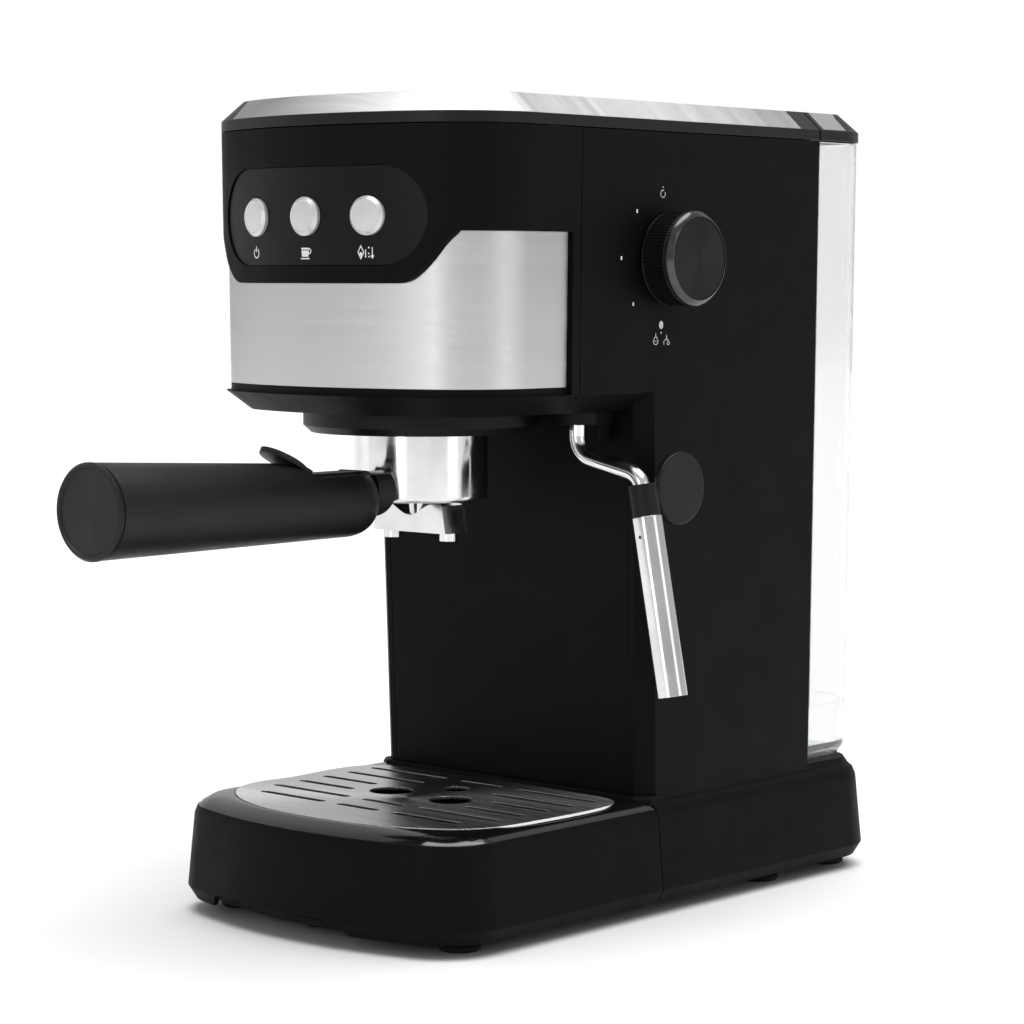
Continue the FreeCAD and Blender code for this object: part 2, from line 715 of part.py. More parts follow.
grille = prism(grille_line(g_top - g_th, 0.0), g_th)


def slot(x0, x1, y, w=3.9):
    r = w / 2
    z0 = g_top - 5
    s = bx(x0 + r, y - r, z0, x1 - r, y + r, g_top + 5)
    return s.fuse([Part.makeCylinder(r, 10, Vector(x0 + r, y, z0)), Part.makeCylinder(r, 10, Vector(x1 - r, y, z0))])


SLOTS = [(0, 19.8, 57.5), (1, 20.1, 65.2), (2, 32.4, 65.0), (3, 33.5, 65.6), (4, 20.2, 65.5), (5, 20.7, 65.6)]
cutters = []
for row, a, b in SLOTS:
    cutters += [slot(a, b, GY[row]), slot(-b, -a, GY[row])]
for row in (0, 1, 5):
    cutters.append(slot(-11.8, 11.8, GY[row]))
cutters.append(Part.makeCylinder(9.3, 20, Vector(17.3, -63.0, 40)))
cutters.append(Part.makeCylinder(9.3, 20, Vector(-17.3, -63.0, 40)))
cutters.append(Part.makeCylinder(6.0, 20, Vector(0, -41.5, 40)))
grille = grille.cut(cutters)
node(feature("drip_grille", grille))

# ---- water tank and its lid
th = D("tank_half_width")


def tank_line(z, inset=0.0, front_inset=None):
    hw = th - (top - z) * D("side_taper")
    return rear_outline(z, hw, rear + 0.5, D("tank_rear"), D("tank_corner"), inset, front_inset)


tl = D("tank_low")
tw = D("tank_wall")
tank = loft([tank_line(tl, 3.0), tank_line(tl + 4.0, 0.6), tank_line(76.0, 0.5)]).fuse(
    loft([tank_line(76.0, 0.0), tank_line(top - 0.3, 0.0)]))
tank = tank.cut(loft([tank_line(tl + 2.6, 5.0), tank_line(tl + 6.0, tw + 0.6), tank_line(76.5, tw + 0.5)]).fuse(
    loft([tank_line(75.5, tw + 0.5), tank_line(top + 2, tw)])))
tank = tank.cut(Part.makeCylinder(5.2, 20, Vector(0, D("outlet_y"), 44)))
tank = tank.fuse(Part.makeCylinder(9.0, 5.0, Vector(0, D("outlet_y"), tl - 2.4)).cut(Part.makeCylinder(5.2, 20, Vector(0, D("outlet_y"), 44))))
# hinge across the rear rim: two knuckles and the pin on the tank, one knuckle on the lid
hz, hy = top - 1.6, D("tank_rear") + 2.6
for x0 in (-31.0, 20.0):
    tank = tank.fuse(Part.makeCylinder(2.4, 11.0, Vector(x0, hy, hz), Vector(1, 0, 0)))
    tank = tank.fuse(bx(x0, D("tank_rear") - 1.2, hz - 4.0, x0 + 11.0, hy, hz + 0.6))
tank = tank.fuse(Part.makeCylinder(1.1, 41.0, Vector(-20.5, hy, hz), Vector(1, 0, 0)))
node(feature("water_tank", tank))


def lid_rear_line(z, inset=0.0, front_inset=0.0):
    hw = half_at(z)
    return rear_outline(z, hw, rear + 1.2, D("tank_rear") + 0.8, D("tank_corner"), inset, front_inset)


tlid = prism(lid_rear_line(z_rim), z_bev - z_rim).fuse(
    loft([lid_rear_line(z_bev), lid_rear_line(z_top, D("lid_bevel") + 1.0)]))
tlid_in = prism(lid_rear_line(z_rim - 1, wall, wall), z_bev - z_rim + 0.6).fuse(
    loft([lid_rear_line(z_bev - 0.4, wall, wall), lid_rear_line(z_top - wall, D("lid_bevel") + 2.4, wall)]))
tlid = tlid.cut(tlid_in)
tl_shift = prism(lid_rear_line(z_rim), z_bev - z_rim).fuse(
    loft([lid_rear_line(z_bev), lid_rear_line(z_top, D("lid_bevel") + 1.0)]))
tl_full = tl_shift.copy()
tl_shift.translate(Vector(0, 0, -skin))
tl_zone = Part.Face(poly_wire([(-100, rear + 4.0, 0), (100, rear + 4.0, 0), (100, rear + 20.0, 0), (74.0, rear + 21.0, 0), (60, rear + 30, 0), (-60, rear + 30, 0), (-74.0, rear + 21.0, 0), (-100, rear + 20.0, 0)])).extrude(Vector(0, 0, 400))
tl_zone = tl_zone.common(bx(-100, 100, z_bev + 0.6, 100, 200, z_top + 3))
inset_block = tl_full.common(tl_zone)
inset_low = inset_block.copy()
inset_low.translate(Vector(0, 0, -skin))
tank_inset = inset_block.cut(inset_low)
tlid = tlid.cut(tank_inset)
web = bx(-19.5, D("tank_rear") - 1.5, z_rim, 19.5, hy + 1.0, z_rim + 2.0).fuse(bx(-19.5, hy - 1.6, hz, 19.5, hy + 1.9, z_rim + 2.0))
web = web.fuse(Part.makeCylinder(2.4, 39.0, Vector(-19.5, hy, hz), Vector(1, 0, 0)))
tlid = tlid.fuse(web).cut(Part.makeCylinder(1.18, 60.0, Vector(-30, hy, hz), Vector(1, 0, 0)))
node(feature("tank_lid", tlid))
node(feature("tank_lid_inset", tank_inset))

# ---------------------------------------------------------------- pipes


def tube_path(pts, radii):
    """Straight runs joined by tangent arcs."""
    v = [Vector(*p) for p in pts]
    edges = []
    prev = v[0]
    for i in range(1, len(v) - 1):
        a = (v[i - 1] - v[i]).normalize()
        b = (v[i + 1] - v[i]).normalize()
        ang = a.getAngle(b)
        r = radii[i - 1]
        t = r / math.tan(ang / 2)
        p1 = v[i] + a * t
        p2 = v[i] + b * t
        bis = (a + b).normalize()
        c = v[i] + bis * (r / math.sin(ang / 2))
        m = c - bis * r
        edges.append(Part.LineSegment(prev, p1).toShape())
        edges.append(Part.Arc(p1, m, p2).toShape())
        prev = p2
    edges.append(Part.LineSegment(prev, v[-1]).toShape())
    return Part.Wire(edges)


def tube(pts, radii, r, r_in=0.0):
    path = tube_path(pts, radii)
    v = [Vector(*p) for p in pts]
    start = v[0]
    d = (v[1] - v[0]).normalize()
    solid = path.makePipeShell([Part.Wire([Part.makeCircle(r, start, d)])], True, False)
    if r_in:
        hole = path.makePipeShell([Part.Wire([Part.makeCircle(r_in, start, d)])], True, False)
        solid = solid.cut(hole)
    return solid


# ---------------------------------------------------------------- group and boiler
gy = X("group_back", -1.0)
node(lathe("group_collar", [
    (37.0, X("collar_low")), (X("collar_radius", 1, -3.2), X("collar_low")), (X("collar_radius"), X("collar_low", 1, 3.0)),
    (X("collar_radius"), X("head_low", 1, -0.05)), (37.0, X("head_low", 1, -0.05))], 0, gy, 0))

gh_profile = lathe("group_head_turning", [
    (0, 224.0), (44.0, 224.0), (44.0, 216.5), (36.2, 216.5), (36.2, 205.4), (32.2, 205.4), (32.2, 212.0),
    (30.4, 212.0), (30.4, 217.2), (23.9, 217.2), (23.9, 214.6), (0, 214.6)], 0, gy, 0)
doc.recompute()
lugs = []
for sgn in (1, -1):
    ring = Part.makeCylinder(32.4, 1.7, Vector(0, 0, 205.4), Vector(0, 0, 1), 44).cut(
        Part.makeCylinder(29.0, 4, Vector(0, 0, 204), Vector(0, 0, 1), 360))
    ring.rotate(Vector(0, 0, 0), Vector(0, 0, 1), -22 + (0 if sgn > 0 else 180))
    ring.translate(Vector(0, -D("group_back"), 0))
    lugs.append(ring)
node(feature("group_head", gh_profile.Shape.fuse(lugs)))
node(lathe("group_gasket", [(24.1, 211.4), (30.1, 211.4), (30.1, 217.0), (24.1, 217.0)], 0, gy, 0))
screen_b = lathe("shower_screen", [(0, 212.2), (19.5, 212.2), (21.5, 213.0), (23.6, 213.0), (23.6, 214.4), (0, 214.4)], 0, gy, 0)
node(screen_b)

node(lathe("boiler_body", [
    (X("boiler_radius", 1, -6), 229.5), (X("boiler_radius", 1, -6), 246.0), (X("boiler_radius", 1, 6), 246.0),
    (X("boiler_radius", 1, 6), 240.5), (X("boiler_radius"), 240.5), (X("boiler_radius"), 224.1), (0, 224.1), (0, 229.5)], 0, gy, 0))
node(lathe("boiler_cover", [
    (0, 264.0), (30.0, 264.0), (X("boiler_radius", 1, -4), 258.5), (X("boiler_radius", 1, -4), 253.5), (X("boiler_radius", 1, 6), 253.5),
    (X("boiler_radius", 1, 6), 246.1), (X("boiler_radius", 1, -6.5), 246.1), (X("boiler_radius", 1, -6.5), 250.0), (29.0, 258.5), (0, 258.5)], 0, gy, 0))
screws = []
for k in range(6):
    a = math.radians(30 + 60 * k)
    cx, cy = 43.0 * math.cos(a), -D("group_back") + 43.0 * math.sin(a)
    head = cyl("boiler_screw_head_%d" % k, 2.6, 2.8, cx, cy, 253.6)
    screws.append(head)
node(compound("boiler_screws", screws))
th_a = cyl("thermostat_brew", 8.0, 7.0, 12, -D("group_back") + 12, 264.1)
th_b = cyl("thermostat_steam", 8.0, 7.0, -12, -D("group_back") - 12, 264.1)
node(compound("boiler_thermostats", [th_a, th_b]))

# ---------------------------------------------------------------- pump, in the column
py = X("pump_y")
node(lathe("pump_body", [
    (X("pump_outer"), 96.0), (X("pump_outer"), 150.0), (7.0, 153.0), (7.0, 160.0), (3.6, 163.0), (3.6, 174.0),
    (1.6, 174.0), (1.6, 152.0), (X("pump_bore"), 152.0), (X("pump_bore"), 90.0), (0.9, 90.0), (0.9, 72.0), (3.6, 72.0), (3.6, 84.0),
    (X("pump_outer"), 87.0)], 0, py, -24.0))
coil_box = box("pump_coil_block", -23, X("pump_y", 1, -19), 82.0, 46, 38, 40)
coil_hole = cyl("pump_coil_hole", X("pump_outer", 1, 0.15), 60, 0, py, 75.0)
node(cut("pump_coil", coil_box, coil_hole))
node(lathe("pump_plunger", [
    (1.5, 0.0), (X("pump_bore", 1, -0.07), 0.0), (X("pump_bore", 1, -0.07), 26.0), (1.5, 26.0)], 0, py, 92.0))
spring_r = 3.4
helix = Part.makeHelix(3.6, 25.2, spring_r)
sp = Part.Wire(helix).makePipeShell([Part.Wire([Part.makeCircle(0.55, Vector(spring_r, 0, 0), Vector(0, 1, 0.14))])], True, True)
sp.translate(Vector(0, D("pump_y"), 66.4))
sp = sp.cut(bx(-10, D("pump_y") - 10, 60, 10, D("pump_y") + 10, 66.05)).cut(bx(-10, D("pump_y") - 10, 91.95, 10, D("pump_y") + 10, 100))
node(feature("pump_spring", sp))
br_l = box("pump_bracket_plate", -30, X("pump_y", 1, -21.1), 8.05, 60, 2, 114)
br_r = box("pump_bracket_plate_rear", -30, X("pump_y", 1, 19.1), 8.05, 60, 2, 114)
br_f = box("pump_bracket_foot", -30, X("pump_y", 1, -21.1), 8.05, 60, 42.2, 2)
bracket_blank = fuse("pump_bracket_blank", [br_l, br_r, br_f])
doc.recompute()
node(feature("pump_bracket", bracket_blank.Shape.cut(Part.makeCylinder(4.0, 8, Vector(0, D("pump_y") + 16, 19.5), Vector(0, 1, 0)))))

node(feature("boiler_feed_hose", tube([
    (0, D("pump_y"), 150.1), (0, D("pump_y"), 196.0), (0, 28, 232.0), (0, -6, 233.5), (0, -22.6, 233.5)], [22, 22, 30], 2.6)))
node(feature("tank_hose", tube([
    (0, D("outlet_y"), 33.0), (0, D("outlet_y"), 21.0), (0, 100, 19.5), (0, D("pump_y"), 19.5), (0, D("pump_y"), 47.8)], [8, 20, 9], 3.2)))

# ---------------------------------------------------------------- steam valve, dial, pipes
dy, dz = X("dial_y"), X("dial_z")
valve = lathe("steam_valve_body", [
    (0.0, 0.0), (10.0, 0.0), (10.0, 20.0), (7.0, 22.0), (7.0, 32.0), (3.15, 32.0), (3.15, 8.0), (0.0, 8.0)], 20, dy, dz, AX_X)
node(valve)
node(lathe("steam_valve_stem", [
    (0, 9.0), (3.08, 9.0), (3.08, 38.0), (4.4, 38.0), (4.4, 46.5), (3.0, 46.5), (3.0, 66.0), (0, 66.0)], 20, dy, dz, AX_X))
node(lathe("dial_knob", [
    (3.02, 1.2), (X("dial_radius", 1, -1.0), 1.2), (X("dial_radius"), 2.2), (X("dial_radius"), 15.0),
    (X("dial_radius", 1, -1.7), 17.2), (X("dial_radius", 1, -2.6), 17.2), (X("dial_radius", 1, -2.6), 15.9), (3.02, 15.9)],
    79.9, dy, dz, AX_X))
node(lathe("dial_cap", [
    (0, 16.0), (X("dial_radius", 1, -2.75), 16.0), (X("dial_radius", 1, -2.75), 16.9), (0, 16.9)], 79.9, dy, dz, AX_X))

wx, wy = D("wand_x"), -D("wand_y")
vz = D("dial_z")
node(feature("wand_feed_pipe", tube([
    (28, D("dial_y"), vz - 10.1), (28, D("dial_y"), 243.0), (43, -14, 234.0), (wx, wy, 231.0), (wx, wy, 219.1)], [8, 10, 7], 2.2)))
node(feature("boiler_steam_pipe", tube([
    (19.9, D("dial_y"), vz), (6, D("dial_y"), vz), (-8, -14, vz), (-8, -40, vz), (-8, -40, 264.1)], [8, 9, 5], 2.2)))
# swivel boss that holds the wand's ball under the head
boss = Part.makeCylinder(9.0, 5.4, Vector(wx, wy, low - 5.45)).fuse(bx(wx - 6, wy, low - 5.45, wx + 6, wy + 15.6, low - 0.05))
boss = boss.fuse(bx(wx - 4, wy + 8, low - 13, wx + 5, wy + 15.0, low - 5))
boss = boss.fuse(Part.makeCylinder(7.0, 6.5, Vector(wx, wy, low + wall + 0.05)))
boss = boss.fuse(Part.makeCylinder(4.1, 6, Vector(wx, wy, low - 1)))
boss = boss.cut(Part.makeCylinder(D("wand_radius") + 0.08, 12.4, Vector(wx, wy, low - 6)))
boss = boss.cut(Part.makeCylinder(2.35, 10, Vector(wx, wy, low + 5)))
node(feature("wand_swivel_boss", boss))

tip_dir = Vector(0.1905, 0, -0.9817)
p1 = Vector(wx, wy, 194.2)
p2 = Vector(wx + 34.0, wy, 186.8)
p3 = p2 + tip_dir * 80.0
pipe = tube([(wx, wy, low + 6.0), tuple(p1), tuple(p2), tuple(p3)], [9.5, 9.0], D("wand_radius"), 1.9)
node(feature("wand_pipe", pipe))
s0 = p2 + tip_dir * 17.1
grip = Part.makeCylinder(5.8, 13.0, p2 + tip_dir * 3.8, tip_dir)
disc_c = Vector(wx + 38.4, wy + 19.0, 180.8)
paddle = Part.makeCylinder(15.2, 3.6, disc_c - Vector(1.8, 0, 0), Vector(1, 0, 0))
paddle = paddle.makeFillet(1.2, [e for e in paddle.Edges if e.Curve.TypeId == "Part::GeomCircle"])
arm = bx(wx + 33.0, wy + 1, 173.5, wx + 38.6, wy + 8, 182.5)
grip = grip.fuse(arm).fuse(paddle)
grip = grip.cut(Part.makeCylinder(D("wand_radius") + 0.02, 40, p2 - tip_dir * 2, tip_dir))
arc_cut = tube([tuple(p1 - Vector(0, 0, -12)), tuple(p1), tuple(p2), tuple(p3)], [9.5, 9.0], D("wand_radius") + 0.02)
grip = grip.cut(arc_cut)
node(feature("wand_grip", grip))
sr = D("sleeve_radius")
sleeve = Part.makeCylinder(sr, D("sleeve_length"), s0, tip_dir)
sleeve = sleeve.cut(Part.makeCylinder(sr - 0.9, D("sleeve_length") - 3, s0 + tip_dir * 3.0, tip_dir))
sleeve = sleeve.cut(Part.makeCylinder(D("wand_radius") + 0.07, 10, s0 - tip_dir * 2, tip_dir))
sleeve = sleeve.cut(Part.makeCylinder(0.7, 20, s0 + tip_dir * 8.0 - Vector(0, 10, 0), Vector(0, 1, 0)))
node(feature("frother_sleeve", sleeve))

# ---------------------------------------------------------------- portafilter
node(lathe("filter_basket", [
    (0, X("basket_low")), (X("basket_radius", 1, -3), X("basket_low")), (X("basket_radius"), X("basket_low", 1, 3)), (X("basket_radius"), 210.3),
    (29.6, 210.3), (29.6, 211.0), (X("basket_radius", 1, -0.6), 211.0), (X("basket_radius", 1, -0.6), X("basket_low", 1, 3.3)),
    (X("basket_radius", 1, -3.3), X("basket_low", 1, 0.6)), (0, X("basket_low", 1, 0.6))], 0, gy, 0))

cup_b = lathe("portafilter_turning", [
    (4.0, X("cup_low")), (X("cup_radius", 1, -2.5), X("cup_low")), (X("cup_radius", 1, -0.5), X("cup_low", 1, 1.0)), (X("cup_radius"), X("cup_low", 1, 2.4)), (X("cup_radius"), X("cup_top")),
    (X("cup_radius", 1, -1.7), X("cup_top")), (X("cup_radius", 1, -1.7), X("cup_low", 1, 3.6)),
    (X("cup_radius", 1, -4.0), X("cup_low", 1, 2.2)), (4.0, X("cup_low", 1, 2.2))], 0, gy, 0)
doc.recompute()
cup = cup_b.Shape
for sgn in (0, 180):
    lug = Part.makeCylinder(31.6, 2.6, Vector(0, 0, 207.4), Vector(0, 0, 1), 36).cut(
        Part.makeCylinder(27.5, 6, Vector(0, 0, 206)))
    lug.rotate(Vector(0, 0, 0), Vector(0, 0, 1), -18 + sgn)
    lug.translate(Vector(0, -D("group_back"), 0))
    cup = cup.fuse(lug)
neck = Part.makeCylinder(6.2, 8.4, Vector(0, -D("group_back") - 26.9, 181.5), Vector(0, -1, 0))
stud = Part.makeCylinder(4.0, 46.0, Vector(0, -D("group_back") - 27.7, 176.05), Vector(0, -1, 0.035))
neck = neck.fuse(stud)
neck = neck.cut(Part.makeCylinder(D("cup_radius") - 1.65, 60, Vector(0, -D("group_back"), 160)))
cup = cup.fuse(neck)
node(feature("portafilter_cup", cup))

# ferrule between cup and handle, shaped to the cup's wall
yn = -D("group_back") - D("cup_radius")
fer = Part.makeCylinder(11.0, 10.0, Vector(0, yn + 2.4, 180.0), Vector(0, -1, 0))
fer = fer.cut(Part.makeCylinder(D("cup_radius") + 0.02, 60, Vector(0, -D("group_back"), 160)))
fer = fer.cut(Part.makeCylinder(6.22, 20, Vector(0, yn + 6, 181.5), Vector(0, -1, 0)))
fer = fer.cut(Part.makeCylinder(4.05, 60, Vector(0, -D("group_back") - 27.7, 176.05), Vector(0, -1, 0.035)))
fer = fer.cut(bx(-20, -130, 186.8, 20, -60, 200))
node(feature("handle_ferrule", fer))


def ring_at(y, zc, rx, rz):
    e = Part.Ellipse(Vector(0, 0, 0), max(rx, rz), min(rx, rz)) if abs(rx - rz) > 1e-6 else None
    if e is None:
        return Part.Wire([Part.makeCircle(rx, Vector(0, y, zc), Vector(0, -1, 0))])
    ed = e.toShape()
    ed.Placement = Placement(Vector(0, y, zc), Rotation(Vector(1, 0, 0), 90) * (Rotation() if rx > rz else Rotation(Vector(0, 0, 1), 90)))
    return Part.Wire([ed])


yh = -D("handle_cap_y")
hb = D("handle_big")
handle = Part.makeLoft([
    Part.Wire([Part.makeCircle(9.0, Vector(0, -98.4, 176.3), Vector(0, -1, 0))]),
    Part.Wire([Part.makeCircle(12.6, Vector(0, -100.4, 176.2), Vector(0, -1, 0))]),
    Part.Wire([Part.makeCircle(14.4, Vector(0, -104.5, 176.3), Vector(0, -1, 0))]),
    Part.Wire([Part.makeCircle(15.1, Vector(0, -112.0, 176.5), Vector(0, -1, 0))])], True, False)
handle = handle.fuse(Part.makeLoft([
    Part.Wire([Part.makeCircle(15.1, Vector(0, -112.0, 176.5), Vector(0, -1, 0))]),
    Part.Wire([Part.makeCircle(hb - 0.15, Vector(0, yh + 2.6, 179.2), Vector(0, -1, 0))])], True, True))
handle = handle.removeSplitter()
flat = Part.Face(poly_wire([(-30, -80, 187.2), (-30, -131.5, 187.2), (-30, -152.0, 195.8), (-30, -152.0, 220), (-30, -80, 220)])).extrude(Vector(60, 0, 0))
handle = handle.cut(flat)
handle = handle.cut(bx(-6.2, -133.0, 185.3, 6.2, -92, 210))
handle = handle.cut(bx(-7.7, -107.0, 180.6, 7.7, -92.6, 210))
pivot = Vector(-9.9, -102.6, 185.0)
handle = handle.cut(Part.makeCylinder(1.32, 20.4, pivot - Vector(0.3, 0, 0), Vector(1, 0, 0)))
tang = Part.makeCylinder(4.1, 60, Vector(0, -90.5, 176.05), Vector(0, -1, 0.035))
handle = handle.cut(tang)
handle = handle.cut(Part.makeCylinder(11.15, 14, Vector(0, yn + 6, 180.0), Vector(0, -1, 0)))
handle = handle.cut(Part.makeCylinder(6.4, 14, Vector(0, yn + 6, 181.5), Vector(0, -1, 0)))
node(feature("portafilter_handle", handle))
node(lathe("handle_cap", [
    (0, 0), (X("handle_big", 1, -0.7), 0), (X("handle_big"), 0.6), (X("handle_big"), 1.9), (X("handle_big", 1, -1.0), 3.0), (X("handle_big", 1, -2.0), 3.0),
    (X("handle_big", 1, -2.6), 2.2), (0, 2.2)], 0, X("handle_cap_y", -1, 2.55), 179.2, AX_NY))

# rocking clip that holds the basket when the grounds are knocked out
clip = Part.makeCylinder(3.6, 14.2, Vector(-7.1, pivot.y, pivot.z), Vector(1, 0, 0))
clip = clip.fuse(Part.makeCylinder(1.25, 19.8, pivot, Vector(1, 0, 0)))
clip = clip.fuse(bx(-5.2, -132.4, 186.2, 5.2, pivot.y, 188.3))
oval = Part.Ellipse(Vector(0, 0, 0), 11.8, 7.2).toShape()
oval.rotate(Vector(0, 0, 0), Vector(0, 0, 1), 90)
tab = Part.Face(Part.Wire([oval])).extrude(Vector(0, 0, 2.2))
tab = tab.fuse(bx(-5.2, 2, 0, 5.2, 12.4, 2.2))
tab.rotate(Vector(0, 0, 0), Vector(1, 0, 0), -26)
tab.translate(Vector(0, -142.8, 193.2))
clip = clip.fuse(tab)
node(feature("basket_clip", clip))

# twin spout
sw = 18.5
saddle = [(x, 168.3 + 2.5 * (1 - math.cos(math.pi * min(1.0, abs(x) / 13.5)))) for x in (15, 13, 11, 9, 7, 5, 3, 1, -1, -3, -5, -7, -9, -11, -13, -15)]
side_pts = [(-sw - 2.2, 161.2), (sw + 2.2, 161.2), (sw + 0.2, 172.4), (sw - 0.8, 173.2)] + saddle + [(-sw + 0.8, 173.2), (-sw - 0.2, 172.4)]
chute = Part.Face(poly_wire([(x, -D("group_back") - 7.0, zz) for x, zz in side_pts])).extrude(Vector(0, 14, 0))
trough = Part.Face(poly_wire([(-sw - 0.4, -D("group_back") - 5.8, 162.6), (sw + 0.4, -D("group_back") - 5.8, 162.6), (sw - 1.3, -D("group_back") - 5.8, 190), (-sw + 1.3, -D("group_back") - 5.8, 190)])).extrude(Vector(0, 11.6, 0))
chute = chute.cut(trough)
stem = Part.makeCylinder(5.4, 12.0, Vector(0, -D("group_back"), 162.4)).cut(Part.makeCylinder(2.6, 20, Vector(0, -D("group_back"), 164)))
chute = chute.fuse(stem)
for sx in (-16, 16):
    chute = chute.fuse(Part.makeCylinder(3.7, 3.6, Vector(sx, -D("group_back"), 157.8)))
    chute = chute.cut(Part.makeCylinder(2.3, 12, Vector(sx, -D("group_back"), 155)))
node(feature("twin_spout", chute))

# ---------------------------------------------------------------- buttons and electrics
for i, nm in ((-1, "button_power"), (0, "button_coffee"), (1, "button_steam")):
    fr, out = button_frame(i)
    b = new_body(nm)
    s = new_sketch(b, nm + "_profile", "XZ_Plane")
    draw_poly(s, [(0, -7.0), (X("button_radius"), -7.0), (X("button_radius"), 1.0), (X("button_radius", 1, -1.3), 2.3),
                  (X("button_radius", 1, -1.6), 2.1), (0, 2.4)])
    r = b.newObject("PartDesign::Revolution", nm + "_turn")
    r.Profile = s
    r.ReferenceAxis = (s, ["V_Axis"])
    r.Angle = 360.0
    b.Placement = fr
    node(b)
switches = []
for i in (-1, 0, 1):
    fr, out = button_frame(i)
    c = Part.makeBox(6.2, 6.2, 3.6, Vector(-3.1, -3.1, -13.2)).fuse(Part.makeCylinder(1.7, 0.7, Vector(0, 0, -9.6)))
    c.Placement = fr
    switches.append(feature("switch_%d" % (i + 1), c))


def board_arc(r, half):
    yy = arc_centre - math.sqrt(r * r - half * half)
    return Vector(-half, yy, 278.0), Vector(0, arc_centre - r, 278.0), Vector(half, yy, 278.0)


a0, a1, a2 = board_arc(135.75, 40.0)
b0, b1, b2 = board_arc(134.15, 40.0)
bd = Part.Face(Part.Wire([Part.Arc(a0, a1, a2).toShape(), Part.LineSegment(a2, b2).toShape(),
                          Part.Arc(b2, b1, b0).toShape(), Part.LineSegment(b0, a0).toShape()])).extrude(Vector(0, 0, 27))
node(compound("button_board", [feature("button_board_plate", bd)] + switches))

# ---------------------------------------------------------------- tank connection, gland, feet, screws
node(lathe("tank_socket", [
    (2.2, 33.2), (4.2, 33.2), (4.2, 40.0), (14.5, 40.0), (14.5, 43.4), (11.9, 43.4), (11.9, 46.2), (10.0, 46.2), (10.0, 43.4), (4.6, 43.4), (4.6, 52.6), (2.2, 52.6)],
    0, X("outlet_y"), 0))
node(lathe("tank_valve", [
    (0, 53.2), (3.4, 53.2), (3.4, 56.9), (7.4, 56.9), (7.4, 58.6), (1.4, 58.6), (1.4, 66.0), (0, 66.0)], 0, X("outlet_y"), 0))
cage = Part.makeCylinder(9.2, 15.4, Vector(0, D("outlet_y"), tl + 2.62)).cut(Part.makeCylinder(7.9, 12.6, Vector(0, D("outlet_y"), tl + 2)))
for k in range(4):
    a = bx(-2.6, -12, 0, 2.6, -4, 8.0)
    a.rotate(Vector(0, 0, 0), Vector(0, 0, 1), 45 + 90 * k)
    a.translate(Vector(0, D("outlet_y"), 58.8))
    cage = cage.cut(a)
cage = cage.cut(Part.makeCylinder(1.8, 12, Vector(0, D("outlet_y"), 62)))
node(feature("tank_valve_cage", cage))

gland = Part.makeCylinder(11.0, 4.4, Vector(-46, D("base_rear") - 1.0, 24), Vector(0, 1, 0)).fuse(
    Part.makeCylinder(8.0, 16.0, Vector(-46, D("base_rear") - 14.0, 24), Vector(0, 1, 0)))
gland = gland.cut(Part.makeCylinder(3.6, 60, Vector(-46, D("base_rear") - 30, 24), Vector(0, 1, 0)))
node(feature("mains_lead_gland", gland))

feet = []
for k, (fx, fy) in enumerate(FEET):
    f = lathe("foot_%d" % k, [
        (0, 0.0), (X("foot_radius", 1, -1.0), 0.0), (X("foot_radius"), 0.9), (X("foot_radius"), 2.2), (X("foot_radius", 1, -2.2), 3.4), (X("foot_radius", 1, -3.2), 4.9),
        (3.2, 4.9), (3.2, 8.0), (4.0, 8.1), (3.0, 9.2), (0, 9.2)], fx, fy, 0)
    feet.append(f)
node(compound("rubber_feet", feet))
# ---------------------------------------------------------------- check and write
doc.recompute()
bad = []
for o in doc.Objects:
    st = [s for s in o.State if s in ("Invalid", "Error")]
    if st:
        bad.append("%s: %s" % (o.Name, st))
total = 0
for o in NODES:
    sh = o.Shape
    if sh.isNull() or not sh.isValid():
        bad.append("%s: shape null or invalid" % o.Label)
    elif not sh.Solids:
        bad.append("%s: no solid" % o.Label)
    else:
        print("%-22s solids %2d  volume %9.0f mm3  box %s" % (
            o.Label, len(sh.Solids), sh.Volume,
            " ".join("%.1f" % q for q in (sh.BoundBox.XMin, sh.BoundBox.YMin, sh.BoundBox.ZMin,
                                           sh.BoundBox.XMax, sh.BoundBox.YMax, sh.BoundBox.ZMax))))
if bad:
    raise RuntimeError("\n".join(bad))
names = [o.Label for o in NODES]
if len(set(names)) != len(names) or len(names) > 60:
    raise RuntimeError("node names clash or too many: %d" % len(names))
os.makedirs("parts", exist_ok=True)
for o in NODES:
    o.Shape.exportStep("parts/%s.step" % o.Label)
print("nodes", len(NODES))
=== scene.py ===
import bpy
import bmesh
import json
import math
import numpy as np
from mathutils import Matrix, Vector
from mathutils.bvhtree import BVHTree


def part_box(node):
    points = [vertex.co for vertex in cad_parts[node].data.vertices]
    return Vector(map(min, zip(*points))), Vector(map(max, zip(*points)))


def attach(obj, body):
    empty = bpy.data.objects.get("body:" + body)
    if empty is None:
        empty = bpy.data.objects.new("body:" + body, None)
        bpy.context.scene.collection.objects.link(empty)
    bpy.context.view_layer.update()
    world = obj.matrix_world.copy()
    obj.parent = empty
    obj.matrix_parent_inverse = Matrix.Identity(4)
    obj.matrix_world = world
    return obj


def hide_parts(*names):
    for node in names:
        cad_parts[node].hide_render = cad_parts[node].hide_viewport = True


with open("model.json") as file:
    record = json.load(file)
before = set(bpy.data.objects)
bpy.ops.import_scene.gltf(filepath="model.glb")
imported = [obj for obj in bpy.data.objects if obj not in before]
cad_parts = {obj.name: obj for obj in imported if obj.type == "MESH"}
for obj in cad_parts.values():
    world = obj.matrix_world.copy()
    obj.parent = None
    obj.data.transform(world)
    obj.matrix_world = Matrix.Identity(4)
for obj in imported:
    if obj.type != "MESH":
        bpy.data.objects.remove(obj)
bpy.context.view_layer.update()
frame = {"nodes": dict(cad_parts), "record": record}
nodes = frame["nodes"]
